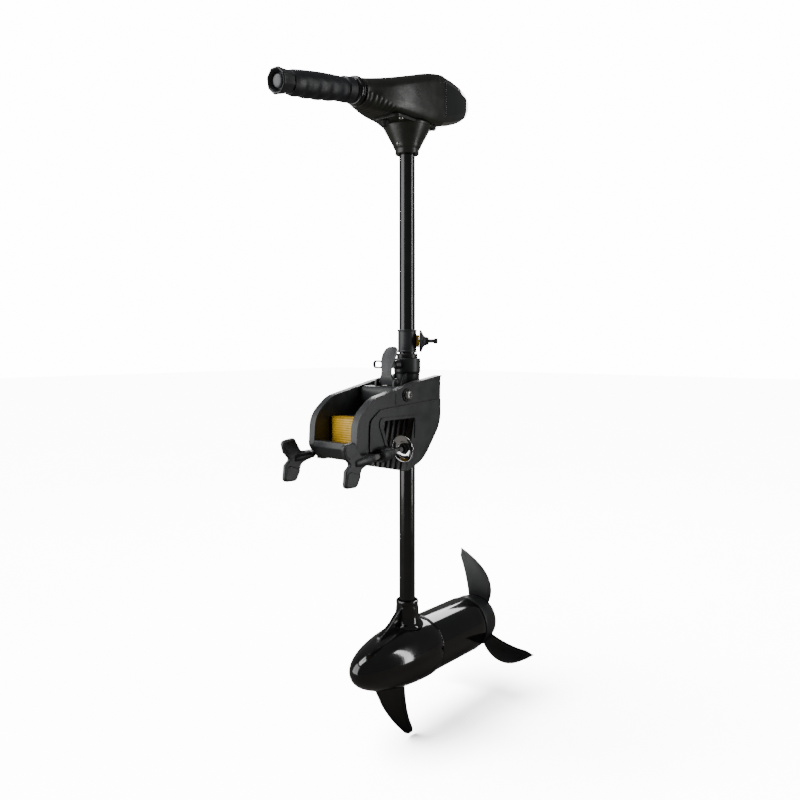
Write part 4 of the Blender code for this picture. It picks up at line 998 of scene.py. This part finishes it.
def build_pod():
    nose = []
    for step in range(NOSE_STEPS + 1):
        angle = pi / 2 * step / NOSE_STEPS
        radius = BELLY_R * cos(angle) ** 0.9 if step < NOSE_STEPS else 0.0
        nose.append((radius, BELLY_Y - NOSE_LENGTH * sin(angle)))
    joint = mm(
        (41.2, 109), (43, 109), (43, 111), (44.4, 111.9), (45, 111.2), (45.9, 108), (46.6, 104),
        (47, 100),
    )
    inside = mm((0, 0), (11.2, 0), (11.2, 7.5), (20, 7.5), (41.2, 36))
    shell = turned(inside + joint + nose, 128, soft=0.0004)
    piece("front_housing_shell", moved(shell, MOTOR), GLOSS, "column", "front_housing", angle=40)
    socket = mm(
        (12.8, -293), (16.5, -293), (17.4, -293.6), (17.8, -295), (17.8, -298.5), (17.2, -299.5),
        (17.8, -304), (18.8, -316), (19.7, -322.5), (21.6, -326.2), (24.6, -328.5), (25.8, -330.5),
        (25.8, -334), (12.8, -334),
    )
    lathe("front_housing_socket", socket, COLUMN, GLOSS, "column", soft=0.0010)
    gusset = rounded([
        (SHAFT_Y - 0.0135, -0.2985, 0.002), (SHAFT_Y - 0.0215, -0.3040, 0.005), (0.0330, -0.3205, 0.030),
        (0.0060, -0.3345, 0.006), (0.0060, -0.3440, 0.0), (0.0300, -0.3400, 0.0), (0.0360, -0.3335, 0.0),
        (SHAFT_Y - 0.0135, -0.3335, 0.0),
    ])
    piece("front_housing_gusset", slab(gusset, 0.0034), GLOSS, "column", bevel=0.0020, segments=5)
    skeg = mm(
        (-404, -6, 68, 7.6), (-415, 0.7, 69, 7), (-430, 9, 69.5, 6.4), (-441.5, 15.2, 70.5, 6),
        (-458, 27, 72.9, 5.5), (-472.2, 38.5, 76.5, 5), (-483.7, 49, 80.1, 4.6),
        (-496.9, 62.3, 86.2, 3.8), (-504, 70, 89, 3), (-508, 77.5, 88, 1.4),
    )
    piece("front_housing_skeg", fin(skeg), GLOSS, "column", angle=60)
    rear = mm(
        (10.5, 233.5), (41.6, 233.5), (43, 233), (44.2, 231.2), (44.8, 227), (45, 221.5), (45, 113.5),
        (44.4, 112.4), (41.2, 112.4), (41.2, 196), (30, 205), (11.2, 205), (11.2, 212.8), (8.6, 212.8),
        (8.6, 216), (10.5, 216),
    )
    lathe(
        "rear_housing_shell", rear, MOTOR, GLOSS, "column", "rear_housing", steps=128, soft=0.0006,
        angle=40,
    )


BLADE_ROOT, BLADE_TIP = 0.0375, 0.125
BLADE_Y = 0.260
PROP_PITCH = 0.085
FIRST_BLADE = 75.5


def blade(stations=40, around=36):
    """One swept blade along +X from the axis, which is local Y."""
    rows = []
    for i in range(stations):
        t = i / (stations - 1)
        # the root is broad, and the blade sweeps back and thins to a rounded tip
        radius = BLADE_ROOT + (BLADE_TIP - BLADE_ROOT) * t
        tip_round = max(0.0, 1 - max(0.0, (t - 0.86) / 0.1405) ** 2) ** 0.5
        chord = (0.036 + 0.014 * sin(pi * min(t * 1.15, 1.0)) - 0.024 * t**6) * tip_round
        pitch = atan2(PROP_PITCH, 2 * pi * radius)
        sweep = 0.50 * t**1.6
        thick = 0.0042 - 0.0024 * t
        row = []
        for j in range(around):
            turn = 2 * pi * j / around
            v = -0.5 * cos(turn)
            side = sin(turn)
            depth = thick / 2 * (abs(side) ** 0.8) * (1 if side >= 0 else -1)
            reach = radius - 0.001 * t - 0.010 * t**3 * (2 * v) ** 2
            angle = sweep + (v * chord * cos(pitch) + depth * sin(pitch)) / radius
            along = -v * chord * sin(pitch) + 0.003 * (1 - (2 * v) ** 2) + depth * cos(pitch)
            row.append((reach * cos(angle), along, reach * sin(angle)))
        rows.append(row)
    return lofted(rows)


def build_propeller():
    hub = mm(
        (4.3, 271), (11.8, 271), (12.6, 283.4), (14, 284), (20, 283.6), (29, 280.8), (37, 274),
        (41.2, 263), (43.2, 250), (43.5, 237.6), (43.1, 236.2), (4.3, 236),
    )
    lathe("propeller_hub", hub, MOTOR, BLADE, "rotor", "propeller", steps=128, soft=0.0008, angle=40)
    for index in range(3):
        at = matrix((0, BLADE_Y, MOTOR_Z), (0, radians(120 * index - FIRST_BLADE), 0))
        piece(f"propeller_blade_{index + 1}", moved(blade(), at), BLADE, "rotor", angle=70)


# ---- hidden nodes, floor, lights and camera ----


def dress_nodes():
    looks = {
        STEEL: [
            "lever_pin", "lock_pin", "collar_screw", "front_bearing", "rear_bearing", "rotor_shaft",
            "drive_pin", "prop_nut", "switch_rod",
        ],
        SEAL: ["motor_cable", "housing_seal", "shaft_seal"], COPPER: ["armature", "commutator"],
        CARBON: ["brush_left", "brush_right", "speed_switch"], FERRITE: ["magnet_upper", "magnet_lower"],
        BOARD: ["meter_board", "brush_plate"],
    }
    for look, names in looks.items():
        for name in names:
            mesh = NODES[name].data
            mesh.materials.clear()
            mesh.materials.append(look)


FLOOR_Z = -0.5125
CAMERA_TURN = radians(40.5)


def show(tree, to_camera, to_others, output):
    """Gives the camera one shader and every other ray another."""
    path, both = tree.nodes.new("ShaderNodeLightPath"), tree.nodes.new("ShaderNodeMixShader")
    tree.links.new(path.outputs["Is Camera Ray"], both.inputs["Fac"])
    tree.links.new(to_others, both.inputs[1])
    tree.links.new(to_camera, both.inputs[2])
    tree.links.new(both.outputs["Shader"], output.inputs["Surface"])


def floor_material():
    look = Look("pale_floor", (0.9, 0.9, 0.9), 0.9)
    clouds = look.noise(1.5, 3.0)
    tone = look.mix(look.span(clouds, 0.0, 1.0), (0.88, 0.88, 0.88), (0.91, 0.91, 0.91))
    material = look.finish(tone)
    dim = look.node("ShaderNodeBsdfDiffuse")
    dim.inputs["Color"].default_value = (0.0100, 0.0095, 0.0088, 1)
    show(look.tree, look.shader.outputs["BSDF"], dim.outputs["BSDF"], look.tree.nodes["Material Output"])
    return material


def light(name, location, aim, size, power):
    data = bpy.data.lights.new(name, "AREA")
    data.shape, data.size, data.size_y = "RECTANGLE", *size
    data.energy = power
    obj = placed(name, data)
    obj.location = location
    obj.rotation_euler = (aim - location).to_track_quat("-Z", "Y").to_euler()


def build_stage():
    sheet = bmesh.new()
    bmesh.ops.create_grid(sheet, x_segments=8, y_segments=8, size=14)
    mesh = finished(sheet)
    mesh.materials.append(floor_material())
    floor = placed("floor", mesh)
    floor.location.z = FLOOR_Z

    world = bpy.data.worlds.new("studio")
    world.use_nodes = True
    bpy.context.scene.world = world
    nodes = world.node_tree.nodes
    background = nodes["Background"]
    plain = nodes.new("ShaderNodeBackground")
    for shader, strength in ((background, 0.12), (plain, 15.0)):
        shader.inputs["Color"].default_value = (1, 1, 1, 1)
        shader.inputs["Strength"].default_value = strength
    show(
        world.node_tree, plain.outputs["Background"], background.outputs["Background"],
        nodes["World Output"],
    )

    right = Vector((cos(CAMERA_TURN), sin(CAMERA_TURN), 0))
    ahead = Vector((-sin(CAMERA_TURN), cos(CAMERA_TURN), 0))
    middle = Vector((0, 0.06, 0.0))
    up = Vector((0, 0, 1))
    light("key", middle - 0.9 * right + 1.5 * up - 0.3 * ahead, middle - 0.2 * up, (0.9, 0.9), 22)
    light("left", middle - 1.4 * right + 0.15 * up - 0.5 * ahead, middle, (1.3, 1.7), 24)
    light("right", middle + 1.4 * right + 0.1 * up - 0.35 * ahead, middle, (0.16, 1.8), 12)
    light("back", middle + 0.4 * right + 1.0 * up + 1.6 * ahead, middle - 0.2 * up, (1.6, 0.8), 40)
    sun = bpy.data.lights.new("floor_sun", "SUN")
    sun.energy, sun.angle = 52.0, radians(45)
    high = placed("floor_sun", sun)
    high.rotation_euler = (-0.9 * right + 1.6 * up - 0.5 * ahead).to_track_quat("Z", "Y").to_euler()
    lit = bpy.data.collections.new("floor_light")
    lit.objects.link(floor)
    high.light_linking.receiver_collection = lit


def build_camera():
    data = bpy.data.cameras.new("camera")
    data.lens, data.sensor_width, data.shift_y = 33.75, 36.0, -0.069
    camera = placed("camera", data)
    camera.location = (0.764, -0.837, 0.110)
    camera.rotation_euler = (pi / 2, 0, CAMERA_TURN)
    bpy.context.scene.camera = camera


build_camera()
build_stage()
for side, sign, back in (("left", -1, LEFT_CLAMP_BACK), ("right", 1, 0.0)):
    build_cheek(side, sign)
    build_clamp(side, sign, back)
build_bridge()
build_saddle()
build_bumper()
build_pivot()
build_swivel()
build_lever()
build_tension()
build_collar()
build_column()
build_head()
build_tiller()
build_pod()
build_propeller()
dress_nodes()
